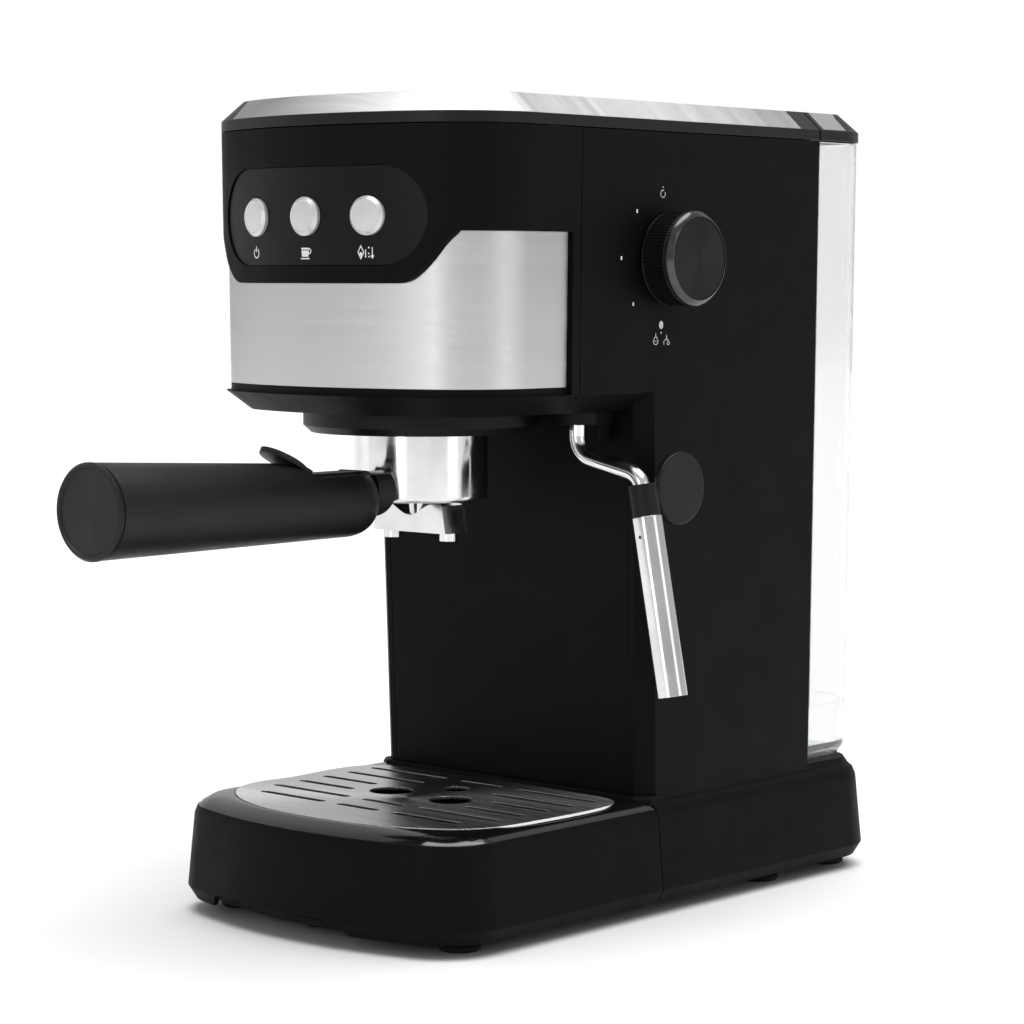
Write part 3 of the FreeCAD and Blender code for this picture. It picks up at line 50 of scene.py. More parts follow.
scene = bpy.context.scene
MM = 0.001


# ------------------------------------------------------------------ shading of the carried-over nodes
def corner_normals(mesh, angle=32.0):
    """Corner normals of a triangle mesh whose faces don't share vertices: smooth across tangent edges, sharp elsewhere."""
    n = len(mesh.vertices)
    co = np.empty(n * 3, np.float64)
    mesh.vertices.foreach_get("co", co)
    co = co.reshape(-1, 3)
    lv = np.empty(len(mesh.loops), np.int64)
    mesh.loops.foreach_get("vertex_index", lv)
    if len(lv) != 3 * len(mesh.polygons):
        return None
    tri = lv.reshape(-1, 3)
    _, inv = np.unique(np.round(co * 2e6).astype(np.int64), axis=0, return_inverse=True)
    inv = inv.ravel()
    p = co[tri]
    fn = np.cross(p[:, 1] - p[:, 0], p[:, 2] - p[:, 0])
    area = np.linalg.norm(fn, axis=1)
    fn = fn / np.maximum(area, 1e-18)[:, None]
    weight = np.empty((len(tri), 3))
    for k in range(3):
        a = p[:, (k + 1) % 3] - p[:, k]
        b = p[:, (k + 2) % 3] - p[:, k]
        c = (a * b).sum(1) / np.maximum(np.linalg.norm(a, axis=1) * np.linalg.norm(b, axis=1), 1e-18)
        weight[:, k] = np.arccos(np.clip(c, -1, 1)) * area
    group = inv[tri].ravel()
    weight = weight.ravel()
    face = np.repeat(np.arange(len(tri)), 3)
    order = np.argsort(group, kind="stable")
    cuts = np.flatnonzero(np.diff(group[order])) + 1
    out = fn[face].copy()
    limit = math.cos(math.radians(angle))
    for idx in np.split(order, cuts):
        if len(idx) < 2:
            continue
        nn = fn[face[idx]]
        near = (nn @ nn.T) > limit
        s = (near * weight[idx][None, :]) @ nn
        length = np.linalg.norm(s, axis=1)
        ok = length > 1e-18
        s[ok] /= length[ok][:, None]
        s[~ok] = nn[~ok]
        out[idx] = s
    return out


for name, o in nodes.items():
    normals = corner_normals(o.data)
    o.data.polygons.foreach_set("use_smooth", [True] * len(o.data.polygons))
    if normals is not None:
        o.data.normals_split_custom_set([tuple(v) for v in normals])


# ------------------------------------------------------------------ materials
class Kit:
    """A small helper that strings shader nodes together."""

    def __init__(self, name):
        self.mat = bpy.data.materials.new(name)
        self.mat.use_nodes = True
        self.nt = self.mat.node_tree
        self.nt.nodes.clear()
        self.out = self.nt.nodes.new("ShaderNodeOutputMaterial")
        self.b = self.nt.nodes.new("ShaderNodeBsdfPrincipled")
        self.nt.links.new(self.b.outputs[0], self.out.inputs[0])
        self.obj = self.nt.nodes.new("ShaderNodeTexCoord").outputs["Object"]

    def link(self, a, b):
        self.nt.links.new(a, b)
        return b

    def set(self, **kw):
        names = {"metallic": "Metallic", "spec": "Specular IOR Level", "ior": "IOR", "coat": "Coat Weight",
                 "coat_rough": "Coat Roughness", "aniso": "Anisotropic", "aniso_rot": "Anisotropic Rotation",
                 "trans": "Transmission Weight", "sheen": "Sheen Weight", "sheen_rough": "Sheen Roughness",
                 "alpha": "Alpha", "rough": "Roughness", "sub": "Subsurface Weight"}
        for k, v in kw.items():
            self.b.inputs[names[k]].default_value = v

    def scaled(self, sx, sy, sz, vec=None):
        m = self.nt.nodes.new("ShaderNodeMapping")
        m.inputs["Scale"].default_value = (sx, sy, sz)
        self.link(vec or self.obj, m.inputs["Vector"])
        return m.outputs[0]

    def noise(self, scale, detail=3.0, rough=0.55, vec=None, distortion=0.0):
        n = self.nt.nodes.new("ShaderNodeTexNoise")
        n.inputs["Scale"].default_value = scale
        n.inputs["Detail"].default_value = detail
        n.inputs["Roughness"].default_value = rough
        n.inputs["Distortion"].default_value = distortion
        self.link(vec or self.obj, n.inputs["Vector"])
        return n.outputs[0]

    def voronoi(self, scale, vec=None):
        n = self.nt.nodes.new("ShaderNodeTexVoronoi")
        n.inputs["Scale"].default_value = scale
        self.link(vec or self.obj, n.inputs["Vector"])
        return n.outputs["Distance"]

    def ramp(self, value, stops):
        r = self.nt.nodes.new("ShaderNodeValToRGB")
        el = r.color_ramp.elements
        while len(el) > 1:
            el.remove(el[-1])
        el[0].position, el[0].color = stops[0][0], tuple(stops[0][1]) + (1,)
        for pos, col in stops[1:]:
            e = el.new(pos)
            e.color = tuple(col) + (1,)
        self.link(value, r.inputs[0])
        return r.outputs[0]

    def spread(self, value, lo, hi, a=0.3, b=0.7):
        m = self.nt.nodes.new("ShaderNodeMapRange")
        m.inputs["From Min"].default_value = a
        m.inputs["From Max"].default_value = b
        m.inputs["To Min"].default_value = lo
        m.inputs["To Max"].default_value = hi
        self.link(value, m.inputs["Value"])
        return m.outputs[0]

    def math(self, op, a, b=None):
        m = self.nt.nodes.new("ShaderNodeMath")
        m.operation = op
        for k, v in enumerate((a, b)):
            if v is None:
                continue
            if isinstance(v, (int, float)):
                m.inputs[k].default_value = v
            else:
                self.link(v, m.inputs[k])
        return m.outputs[0]

    def mix(self, fac, a, b):
        m = self.nt.nodes.new("ShaderNodeMix")
        m.data_type = "RGBA"
        for k, v in ((0, fac), (6, a), (7, b)):
            if isinstance(v, (int, float)):
                m.inputs[k].default_value = v
            elif isinstance(v, tuple):
                m.inputs[k].default_value = v + (1,)
            else:
                self.link(v, m.inputs[k])
        return m.outputs[2]

    def bevel(self, radius):
        n = self.nt.nodes.new("ShaderNodeBevel")
        n.samples = 4
        n.inputs["Radius"].default_value = radius
        return n.outputs[0]

    def edge(self, radius, lo=0.02, hi=0.25):
        """About 1 near an edge and 0 elsewhere, from how far the rounded normal leans away."""
        g = self.nt.nodes.new("ShaderNodeNewGeometry")
        d = self.nt.nodes.new("ShaderNodeVectorMath")
        d.operation = "DOT_PRODUCT"
        self.link(self.bevel(radius), d.inputs[0])
        self.link(g.outputs["Normal"], d.inputs[1])
        return self.spread(self.math("SUBTRACT", 1.0, d.outputs["Value"]), 0.0, 1.0, lo, hi)

    def bump(self, height, strength, distance, normal=None):
        n = self.nt.nodes.new("ShaderNodeBump")
        n.inputs["Strength"].default_value = strength
        n.inputs["Distance"].default_value = distance
        self.link(height, n.inputs["Height"])
        if normal is not None:
            self.link(normal, n.inputs["Normal"])
        return n.outputs[0]

    def color(self, v):
        self.link(v, self.b.inputs["Base Color"])

    def rough(self, v):
        self.link(v, self.b.inputs["Roughness"])

    def normal(self, v):
        self.link(v, self.b.inputs["Normal"])

    def tangent(self, axis):
        t = self.nt.nodes.new("ShaderNodeTangent")
        t.direction_type = "RADIAL"
        t.axis = axis
        self.link(t.outputs[0], self.b.inputs["Tangent"])


def grey(v, tint=(1.0, 1.0, 1.0)):
    return tuple(v * t for t in tint)


def moulded(name, base, rough=0.5, spec=0.4, grain=2600.0, strength=0.18, mottle=0.18, edge_highlight=0.5, round_mm=0.45,
            tint=(1.0, 1.0, 1.03), coat=0.0, coat_rough=0.1):
    """Injection-moulded plastic with a fine spark-eroded texture, faint cloudy tone variation and a painted highlight
    that lightens the colour along every edge.
    """
    k = Kit(name)
    cloud = k.noise(14.0, 4.0)
    fleck = k.noise(grain * 0.6, 2.0)
    tone = k.ramp(cloud, [(0.3, grey(base * (1 - mottle), tint)), (0.7, grey(base * (1 + mottle), tint))])
    tone = k.mix(k.spread(fleck, 0.0, 0.35, 0.45, 0.8), tone, grey(base * 1.9, tint))
    # painted highlight: the colour is lightened along every edge by the rounded-normal edge mask, scaled by the edge
    # strength argument
    tone = k.mix(k.math("MULTIPLY", k.edge(round_mm * MM), edge_highlight), tone, grey(min(1.0, base * 3.2 + 0.004), tint))
    k.color(tone)
    k.rough(k.spread(k.noise(55.0, 5.0), rough - 0.06, rough + 0.06))
    k.set(spec=spec, coat=coat, coat_rough=coat_rough)
    k.normal(k.bump(k.noise(grain, 2.0), strength, 0.00004, k.bevel(round_mm * MM)))
    return k.mat


def glossy(name, base, rough=0.12, spec=0.5, tint=(1.0, 1.0, 1.02), round_mm=0.5):
    """Polished black plastic: faint waviness, dust specks and fine wiping marks."""
    k = Kit(name)
    k.color(k.mix(k.spread(k.noise(700.0, 2.0), 0.0, 0.25, 0.66, 0.8), grey(base, tint), grey(base * 4 + 0.01, tint)))
    wipe = k.noise(60.0, 4.0, vec=k.scaled(1.0, 9.0, 9.0))
    k.rough(k.spread(wipe, rough * 0.75, rough * 1.35))
    k.set(spec=spec, coat=0.35, coat_rough=0.05)
    k.normal(k.bump(k.noise(16.0, 2.0), 0.10, 0.0006, k.bevel(round_mm * MM)))
    return k.mat


def brushed(name, tone=0.56, rough=0.27, axis="X", aniso=0.75, streak=0.35, strength=0.12, round_mm=0.25, bands=0.0):
    """Brushed stainless sheet with long fine streaks along one axis."""
    k = Kit(name)
    long, fine = 3.0, 1300.0
    s = {"XY": (long, long, fine), "X": (long, fine, long), "Y": (fine, long, long), "Z": (fine, fine, long)}[axis]
    hair = k.noise(1.0, 4.0, 0.65, vec=k.scaled(*s))
    wide = k.noise(1.0, 2.0, 0.5, vec=k.scaled(*[v * 0.18 if v > 10 else v * 2.2 for v in s]))
    both = k.math("ADD", k.math("MULTIPLY", hair, 0.65), k.math("MULTIPLY", wide, 0.35))
    lo, hi = tone * (1 - streak), min(1.0, tone * (1 + streak * 0.55))
    col = k.ramp(both, [(0.3, grey(lo, (1, 1, 1.0))), (0.7, grey(hi, (1, 1, 0.995)))])
    smear = k.noise(9.0, 4.0)
    col = k.mix(k.spread(smear, 0.0, 0.16, 0.4, 0.75), col, grey(tone * 0.72))
    k.color(col)
    k.rough(k.spread(both, rough - 0.06, rough + 0.08))
    k.set(metallic=1.0, aniso=aniso, aniso_rot=0.0)
    k.normal(k.bump(both, strength, 0.00005, k.bevel(round_mm * MM)))
    t = k.nt.nodes.new("ShaderNodeTangent")
    t.direction_type = "RADIAL"
    t.axis = "Z" if axis in ("XY", "X", "Y") else "X"
    k.link(t.outputs[0], k.b.inputs["Tangent"])
    return k.mat


def chromed(name, tone=0.78, rough=0.07, wave=0.05):
    """Bright plated or polished metal with soft waviness, faint haze and water-spot specks."""
    k = Kit(name)
    haze = k.noise(38.0, 5.0)
    col = k.ramp(haze, [(0.25, grey(tone * 0.86)), (0.75, grey(min(1.0, tone * 1.08), (1, 1, 1.005)))])
    k.color(k.mix(k.spread(k.noise(420.0, 2.0), 0.0, 0.22, 0.62, 0.8), col, grey(tone * 0.6)))
    k.rough(k.spread(k.noise(90.0, 5.0), rough * 0.6, rough * 1.7))
    k.set(metallic=1.0)
    k.normal(k.bump(k.noise(55.0, 2.0), wave, 0.0004, k.bevel(0.25 * MM)))
    return k.mat


def satin(name, tone=0.72, rough=0.3, metallic=0.75):
    k = Kit(name)
    k.color(k.ramp(k.noise(60.0, 3.0), [(0.3, grey(tone * 0.97)), (0.7, grey(min(1, tone * 1.02)))]))
    k.rough(k.spread(k.noise(90.0, 3.0), rough - 0.02, rough + 0.02))
    k.set(metallic=metallic, spec=0.5)
    k.normal(k.bump(k.noise(2600.0, 2.0), 0.12, 0.00003, k.bevel(0.3 * MM)))
    return k.mat


def turned(name, tone, rough, metallic, centre, axis, ring_mm=0.28, strength=0.35, spec=0.5, aniso=0.85):
    """Face turned on a lathe: fine concentric grooves about an axis through centre."""
    k = Kit(name)
    m = k.nt.nodes.new("ShaderNodeMapping")
    m.inputs["Location"].default_value = tuple(-c for c in centre)
    k.link(k.obj, m.inputs["Vector"])
    sep = k.nt.nodes.new("ShaderNodeSeparateXYZ")
    k.link(m.outputs[0], sep.inputs[0])
    u, v = [sep.outputs[a] for a in range(3) if "XYZ"[a] != axis]
    r = k.math("SQRT", k.math("ADD", k.math("MULTIPLY", u, u), k.math("MULTIPLY", v, v)))
    line = k.nt.nodes.new("ShaderNodeCombineXYZ")
    k.link(k.math("MULTIPLY", r, 1.0 / (ring_mm * MM)), line.inputs[0])
    groove = k.noise(1.0, 4.0, 0.7, vec=line.outputs[0])
    k.color(k.ramp(groove, [(0.25, grey(tone * 0.6)), (0.75, grey(tone * 1.4))]))
    k.rough(k.spread(groove, rough - 0.07, rough + 0.09))
    k.set(metallic=metallic, spec=spec, aniso=aniso)
    k.normal(k.bump(groove, strength, 0.00003, k.bevel(0.25 * MM)))
    k.tangent(axis)
    return k.mat


def clear_plastic(name, tint=(0.97, 0.975, 0.98), rough=0.10):
    k = Kit(name)
    k.color(k.mix(k.spread(k.noise(30.0, 4.0), 0.0, 0.5), tint, tuple(0.96 * t for t in tint)))
    k.rough(k.spread(k.noise(120.0, 5.0), rough * 0.6, rough * 1.5))
    k.set(trans=0.93, ior=1.35, spec=0.4)
    k.normal(k.bump(k.noise(22.0, 2.0), 0.12, 0.0008, k.bevel(0.5 * MM)))
    return k.mat


def rubber(name, base=0.012, rough=0.75):
    k = Kit(name)
    k.color(k.ramp(k.noise(60.0, 5.0), [(0.3, grey(base * 0.8)), (0.7, grey(base * 1.5))]))
    k.rough(k.spread(k.noise(200.0, 4.0), rough - 0.1, rough + 0.08))
    k.set(spec=0.3)
    k.normal(k.bump(k.noise(1500.0, 3.0), 0.25, 0.00006, k.bevel(0.4 * MM)))
    return k.mat


def cast(name, tone=0.42, rough=0.42):
    k = Kit(name)
    k.color(k.ramp(k.noise(80.0, 6.0), [(0.3, grey(tone * 0.75)), (0.7, grey(tone * 1.15))]))
    k.rough(k.spread(k.noise(160.0, 5.0), rough - 0.1, rough + 0.12))
    k.set(metallic=1.0)
    k.normal(k.bump(k.noise(900.0, 4.0), 0.3, 0.0001, k.bevel(0.5 * MM)))
    return k.mat


def printed(name, tone=0.8):
    k = Kit(name)
    k.color(k.ramp(k.noise(900.0, 3.0), [(0.3, grey(tone * 0.85)), (0.7, grey(tone))]))
    k.rough(k.spread(k.noise(400.0, 3.0), 0.42, 0.6))
    k.normal(k.bump(k.noise(3000.0, 2.0), 0.1, 0.00002))
    return k.mat


def laminate(name):
    k = Kit(name)
    k.color(k.ramp(k.noise(900.0, 3.0), [(0.3, (0.02, 0.09, 0.035)), (0.7, (0.03, 0.13, 0.05))]))
    k.rough(k.spread(k.noise(200.0, 3.0), 0.3, 0.5))
    k.normal(k.bump(k.voronoi(700.0), 0.15, 0.0001, k.bevel(0.2 * MM)))
    return k.mat


def coloured(name, col, rough=0.45, metallic=0.0, grain=1500.0):
    k = Kit(name)
    k.color(k.mix(k.spread(k.noise(40.0, 5.0), 0.0, 1.0), tuple(0.8 * c for c in col), tuple(min(1, 1.1 * c) for c in col)))
    k.rough(k.spread(k.noise(120.0, 4.0), rough - 0.08, rough + 0.08))
    k.set(metallic=metallic, spec=0.5)
    k.normal(k.bump(k.noise(grain, 3.0), 0.15, 0.00005, k.bevel(0.3 * MM)))
    return k.mat


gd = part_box("dial_cap")
dial_centre = tuple((a + b) / 2 for a, b in zip(*gd))
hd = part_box("handle_cap")
cap_centre = tuple((a + b) / 2 for a, b in zip(*hd))

M = {
    "shell_plastic": moulded("shell_matte_black", 0.0022, 0.52, 0.07),
    "rim_plastic": moulded("rim_matte_black", 0.0036, 0.42, 0.24),
    "inner_plastic": moulded("inner_matte_black", 0.0026, 0.60, 0.16, edge_highlight=0.3),
    "deck_plastic": glossy("deck_gloss_black", 0.004),
    "panel_plastic": moulded("panel_fine_black", 0.0014, 0.42, 0.16, grain=3400.0, strength=0.08, edge_highlight=0.4),
    "steel_sheet": brushed("brushed_steel_sheet", 0.52, 0.32, "XY", streak=0.07, strength=0.03),
    "button_satin": satin("button_satin_silver", 0.64, 0.34, 0.40),
    "collar_plastic": moulded("collar_black", 0.0016, 0.45, 0.20, edge_highlight=0.35),
    "chrome_bright": chromed("bright_chrome", 0.68, 0.13),
    "pipe_steel": chromed("polished_tube_steel", 0.82, 0.12, 0.03),
    "group_aluminium": cast("group_cast_aluminium", 0.5, 0.4),
    "seal_rubber": rubber("seal_grey_silicone", 0.12, 0.6),
    "screen_steel": cast("screen_steel", 0.55, 0.3),
    "thermostat_case": coloured("thermostat_case", (0.55, 0.52, 0.46), 0.5),
    "pump_plastic": moulded("pump_moulded_black", 0.02, 0.5),
    "coil_paint": coloured("coil_dark_red", (0.20, 0.03, 0.02), 0.4),
    "plunger_steel": cast("plunger_ground_steel", 0.5, 0.25),
    "bracket_steel": cast("zinc_plated_sheet", 0.5, 0.38),
    "hose_silicone": clear_plastic("hose_silicone", (0.88, 0.88, 0.86), 0.3),
    "valve_brass": coloured("valve_brass", (0.62, 0.44, 0.18), 0.3, 1.0),
    "dial_plastic": moulded("dial_black", 0.0028, 0.42, 0.16, edge_highlight=0.25, round_mm=0.15, grain=3000.0, strength=0.06),
    "dial_disc": turned("dial_turned_black", 0.016, 0.34, 0.85, dial_centre, "X"),
    "grip_plastic": moulded("grip_black", 0.0030, 0.48, 0.22),
    "handle_plastic": moulded("handle_soft_black", 0.0046, 0.46, 0.26, grain=2200.0, strength=0.14, edge_highlight=0.3),
    "handle_disc": turned("handle_turned_black", 0.022, 0.36, 0.8, cap_centre, "Y"),
    "clip_plastic": moulded("clip_black", 0.0045, 0.40, 0.26),
    "board_laminate": laminate("board_green_laminate"),
    "tank_clear": clear_plastic("tank_clear_plastic"),
    "valve_plastic": coloured("valve_white_plastic", (0.7, 0.7, 0.68), 0.45),
    "gland_rubber": rubber("gland_black_rubber", 0.01, 0.6),
    "foot_rubber": rubber("foot_black_rubber", 0.010, 0.8),
}
SILVER_PRINT = printed("silver_print", 0.62)
WHITE_PRINT = printed("white_print", 0.85)
GREY_PRINT = printed("grey_print", 0.16)

slot_of = {s["node"]: s["material_slot"] for s in frame["record"]["subparts"]}
for name, o in nodes.items():
    mat = M[slot_of[name]]
    if o.data.materials:
        for i in range(len(o.data.materials)):
            o.data.materials[i] = mat
    else:
        o.data.materials.append(mat)


def own(node, material):
    for i in range(len(nodes[node].data.materials)):
        nodes[node].data.materials[i] = material


own("cup_warmer_plate", brushed("brushed_steel_lid", 0.42, 0.34, "X", streak=0.12, strength=0.04))
own("drip_grille", brushed("brushed_steel_grille", 0.74, 0.28, "X", streak=0.12, strength=0.04))
own("tank_lid_inset", satin("lid_silver_insert", 0.42, 0.34, 0.9))


# ------------------------------------------------------------------ mesh helpers
def piece(name, verts, faces, material, body, smooth_angle=35.0):
    me = bpy.data.meshes.new(name)
    me.from_pydata([tuple(v) for v in verts], [], [tuple(f) for f in faces])
    bm = bmesh.new()
    bm.from_mesh(me)
    bmesh.ops.remove_doubles(bm, verts=bm.verts, dist=1e-7)
    bmesh.ops.recalc_face_normals(bm, faces=bm.faces)
    bm.to_mesh(me)
    bm.free()
    me.polygons.foreach_set("use_smooth", [True] * len(me.polygons))
    me.set_sharp_from_angle(angle=math.radians(smooth_angle))
    o = bpy.data.objects.new(name, me)
    scene.collection.objects.link(o)
    if not isinstance(material, (list, tuple)):
        material = [material]
    for m in material:
        me.materials.append(m)
    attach(o, body)
    return o


def lathe_mesh(profile, segs, place, ripple=None):
    """A closed turning: profile is (radius, height) pairs from axis to axis; place maps local to the row frame."""
    verts, faces, rows = [], [], []
    for j, (r, h) in enumerate(profile):
        if r <= 1e-9:
            rows.append([len(verts)])
            verts.append(place @ Vector((0, 0, h)))
            continue
        row = []
        for i in range(segs):
            a = 2 * math.pi * i / segs
            rr = r if ripple is None else r + ripple(j, r, h, i)
            row.append(len(verts))
            verts.append(place @ Vector((rr * math.cos(a), rr * math.sin(a), h)))
        rows.append(row)
    for a, b in zip(rows, rows[1:]):
        if len(a) == 1 and len(b) == 1:
            continue
        for i in range(segs):
            k = (i + 1) % segs
            if len(a) == 1:
                faces.append((a[0], b[i], b[k]))
            elif len(b) == 1:
                faces.append((a[i], b[0], a[k]))
            else:
                faces.append((a[i], b[i], b[k], a[k]))
    return verts, faces


def axis_place(origin, z_axis, x_hint=(0, 0, 1)):
    z = Vector(z_axis).normalized()
    x = Vector(x_hint)
    x = (x - z * x.dot(z)).normalized()
    y = z.cross(x)
    m = Matrix((x, y, z)).transposed().to_4x4()
    m.translation = Vector(origin)
    return m


# ------------------------------------------------------------------ dial with its ribbed side and bright ring
lo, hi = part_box("dial_knob")
dial_y, dial_z = (lo[1] + hi[1]) / 2, (lo[2] + hi[2]) / 2
dial_r = (hi[2] - lo[2]) / 2
dial_h = hi[0] - lo[0]
dial_place = axis_place((lo[0], dial_y, dial_z), (1, 0, 0))
RIBS = 84
SEG = RIBS * 6


def rib(j, r, h, i):
    if not dial_side[j]:
        return 0.0
    ph = (i % 6)
    return {0: 0.0, 1: -0.05, 2: -0.34, 3: -0.42, 4: -0.34, 5: -0.05}[ph] * MM


R = dial_r / MM
H = dial_h / MM
dial_profile = [(3.05, 0.0), (R - 1.3, 0.0), (R - 0.55, 0.25), (R - 0.25, 0.75), (R - 0.25, 1.05), (R - 0.75, 1.25), (R - 0.75, 1.55),
                (R - 0.25, 1.75), (R - 0.02, 2.1), (R - 0.02, H - 4.1), (R - 0.3, H - 3.8), (R - 0.75, H - 3.55), (R - 0.75, H - 3.2),
                (R - 0.18, H - 3.0), (R - 0.02, H - 2.75), (R - 0.02, H - 2.25), (R - 0.25, H - 1.95), (R - 2.25, H - 0.05),
                (R - 2.45, H), (R - 2.65, H - 0.12), (R - 2.7, H - 1.3), (3.05, H - 1.3), (3.05, 0.0)]
dial_side = [i in (8, 9, 10) for i in range(len(dial_profile))]
prof = [(r * MM, h * MM) for r, h in dial_profile]
v, f = lathe_mesh(prof, SEG, dial_place, rib)
dial = piece("dial_ribbed_knob", v, f, [M["dial_plastic"], None, None], "dial", 30)


def band_material():
    k = Kit("dial_bright_chamfer")
    k.color(k.ramp(k.noise(300.0, 3.0), [(0.3, grey(0.045)), (0.7, grey(0.07))]))
    k.rough(k.spread(k.noise(500.0, 3.0), 0.12, 0.18))
    k.set(metallic=0.95, spec=0.6, coat=0.4, coat_rough=0.08)
    k.normal(k.bump(k.noise(1800.0, 2.0), 0.08, 0.00002))
    return k.mat


dial.data.materials[1] = band_material()
dial.data.materials[2] = chromed("dial_thin_ring", 0.12, 0.25)
inv = dial_place.inverted()
for p in dial.data.polygons:
    c = inv @ p.center
    h, r = c.z / MM, math.hypot(c.x, c.y) / MM
    if h > H - 2.0 and r > R - 2.5:
        p.material_index = 1
    elif (H - 2.78 < h < H - 2.2 or 0.5 < h < 1.1) and r > R - 0.5:
        p.material_index = 2
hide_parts("dial_knob")


# ------------------------------------------------------------------ marks printed on the panels
trees = {}


def tree_of(node):
    if node not in trees:
        me = nodes[node].data
        trees[node] = BVHTree.FromPolygons([v.co.copy() for v in me.vertices], [tuple(p.vertices) for p in me.polygons])
    return trees[node]


def arc_pts(cx, cy, r, a0, a1, n):
    return [(cx + r * math.cos(math.radians(a0 + (a1 - a0) * i / n)), cy + r * math.sin(math.radians(a0 + (a1 - a0) * i / n)))
            for i in range(n + 1)]


def stroke(pts, w, closed=False):
    """A band of width w along points, as one quad strip."""
    n = len(pts)
    left, right = [], []
    for i in range(n):
        p0 = Vector(pts[i - 1] if (i > 0 or closed) else pts[i])
        p1 = Vector(pts[(i + 1) % n] if (i < n - 1 or closed) else pts[i])
        p = Vector(pts[i])
        d1, d2 = (p - p0), (p1 - p)
        if d1.length < 1e-9:
            d1 = d2
        if d2.length < 1e-9:
            d2 = d1
        d1, d2 = d1.normalized(), d2.normalized()
        t = (d1 + d2).normalized() if (d1 + d2).length > 1e-6 else d1
        nrm = Vector((-t.y, t.x))
        s = w / 2 / max(0.45, abs(nrm.dot(Vector((-d1.y, d1.x)))))
        left.append(p + nrm * s)
        right.append(p - nrm * s)
    quads = []
    for i in range(n if closed else n - 1):
        k = (i + 1) % n
        quads.append([left[i], right[i], right[k], left[k]])
    return quads


def disc_shape(cx, cy, r, n=20, sy=1.0):
    ring = [Vector((cx + r * math.cos(2 * math.pi * i / n), cy + r * sy * math.sin(2 * math.pi * i / n))) for i in range(n)]
    return [[Vector((cx, cy)), ring[i], ring[(i + 1) % n]] for i in range(n)]


def mark(name, shapes, node, origin, u, vv, out, material, body, raise_mm=0.05, sink_mm=0.05):
    """Shapes in millimetres on the (u, vv) plane, laid on the node's surface and given a thin film's thickness."""
    tree = tree_of(node)
    o0, u, vv, out = Vector(origin), Vector(u).normalized(), Vector(vv).normalized(), Vector(out).normalized()
    verts, faces, index = [], [], {}

    def vid(p, top):
        key = (round(p.x, 5), round(p.y, 5), top)
        if key not in index:
            q = o0 + u * (p.x * MM) + vv * (p.y * MM)
            hit = tree.ray_cast(q + out * 0.02, -out, 0.06)
            if hit[0] is None:
                raise RuntimeError(f"mark {name} misses {node} at {p}")
            index[key] = len(verts)
            verts.append(hit[0] + out * (raise_mm * MM if top else -sink_mm * MM))
        return index[key]

    tops = []
    for s in shapes:
        ids = [vid(p, True) for p in s]
        if len(set(ids)) < 3:
            continue
        tops.append((ids, [vid(p, False) for p in s]))
    edges = {}
    for ids, _ in tops:
        for a, b in zip(ids, ids[1:] + ids[:1]):
            edges[(a, b)] = edges.get((a, b), 0) + 1
    for ids, low in tops:
        faces.append(ids)
        faces.append(low[::-1])
        for (a, b), (c, d) in zip(zip(ids, ids[1:] + ids[:1]), zip(low, low[1:] + low[:1])):
            if (b, a) not in edges:
                faces.append((a, c, d, b))
    return piece(name, verts, faces, material, body, 40)


# icons under the three buttons, each in its own upright frame on the curved panel
def front_frame(deg, z_mm, apex=130.3):
    a = math.radians(deg)
    cy = -apex + 150.0
    r = 150.0
    return (Vector((r * math.sin(a), cy - r * math.cos(a), z_mm)) * MM, Vector((math.cos(a), math.sin(a), 0)), Vector((math.sin(a), -math.cos(a), 0)))


UP = Vector((0, 0, 1))
o_, u_, n_ = front_frame(-12.6, 277.1)
power = stroke(arc_pts(0, -0.25, 1.85, 118, 422, 26), 0.5) + stroke([(0, 0.2), (0, 2.6)], 0.5)
mark("icon_power", power, "control_panel", o_, u_, UP, n_, WHITE_PRINT, "housing")

o_, u_, n_ = front_frame(-0.05, 276.9)
cup = [[Vector((-2.1, -1.6)), Vector((1.5, -1.6)), Vector((1.8, 0.5)), Vector((1.8, 0.9)), Vector((-2.4, 0.9)), Vector((-2.4, 0.5))],
       [Vector((-2.4, 1.25)), Vector((1.8, 1.25)), Vector((1.8, 2.0)), Vector((-2.4, 2.0))]]
cup += stroke([(1.8, 1.55), (2.7, 1.4), (2.95, 0.6), (2.6, -0.1), (1.7, -0.5)], 0.45)
cup += [[Vector((-2.8, -2.6)), Vector((2.2, -2.6)), Vector((2.2, -2.1)), Vector((-2.8, -2.1))]]
mark("icon_cup", cup, "control_panel", o_, u_, UP, n_, WHITE_PRINT, "housing")

o_, u_, n_ = front_frame(12.1, 276.9)
drop = stroke([(-3.0, 2.6), (-4.35, 0.1), (-3.0, -2.4), (-1.65, 0.1)], 0.42, True)
drop += [[Vector((-3.0, 0.2)), Vector((-3.75, -0.3)), Vector((-3.0, -1.7)), Vector((-2.25, -0.3))]]
drop += stroke([(-0.75, -2.1), (-0.75, 1.2)], 0.45)
drop += disc_shape(0.75, 1.9, 0.36, 14) + disc_shape(0.75, -0.4, 0.34, 14) + disc_shape(0.75, -1.7, 0.34, 14)
drop += stroke([(2.35, -2.1), (2.35, 2.1)], 0.42) + [[Vector((1.45, -1.3)), Vector((2.35, -2.5)), Vector((3.25, -1.3)), Vector((2.35, -0.75))]]
mark("icon_steam", drop, "control_panel", o_, u_, UP, n_, WHITE_PRINT, "housing")

# marks round the dial on the right-hand side panel; u runs to the viewer's right when the side is faced
side_u, side_n = Vector((0, 1, 0)), Vector((1, 0, 0))
side_o = Vector((0.081, 0, 0))


def side_mark(name, shapes, y, z, material=SILVER_PRINT):
    mark(name, shapes, "side_panel_right", side_o + Vector((0, y * MM, z * MM)), side_u, UP, side_n, material, "housing")


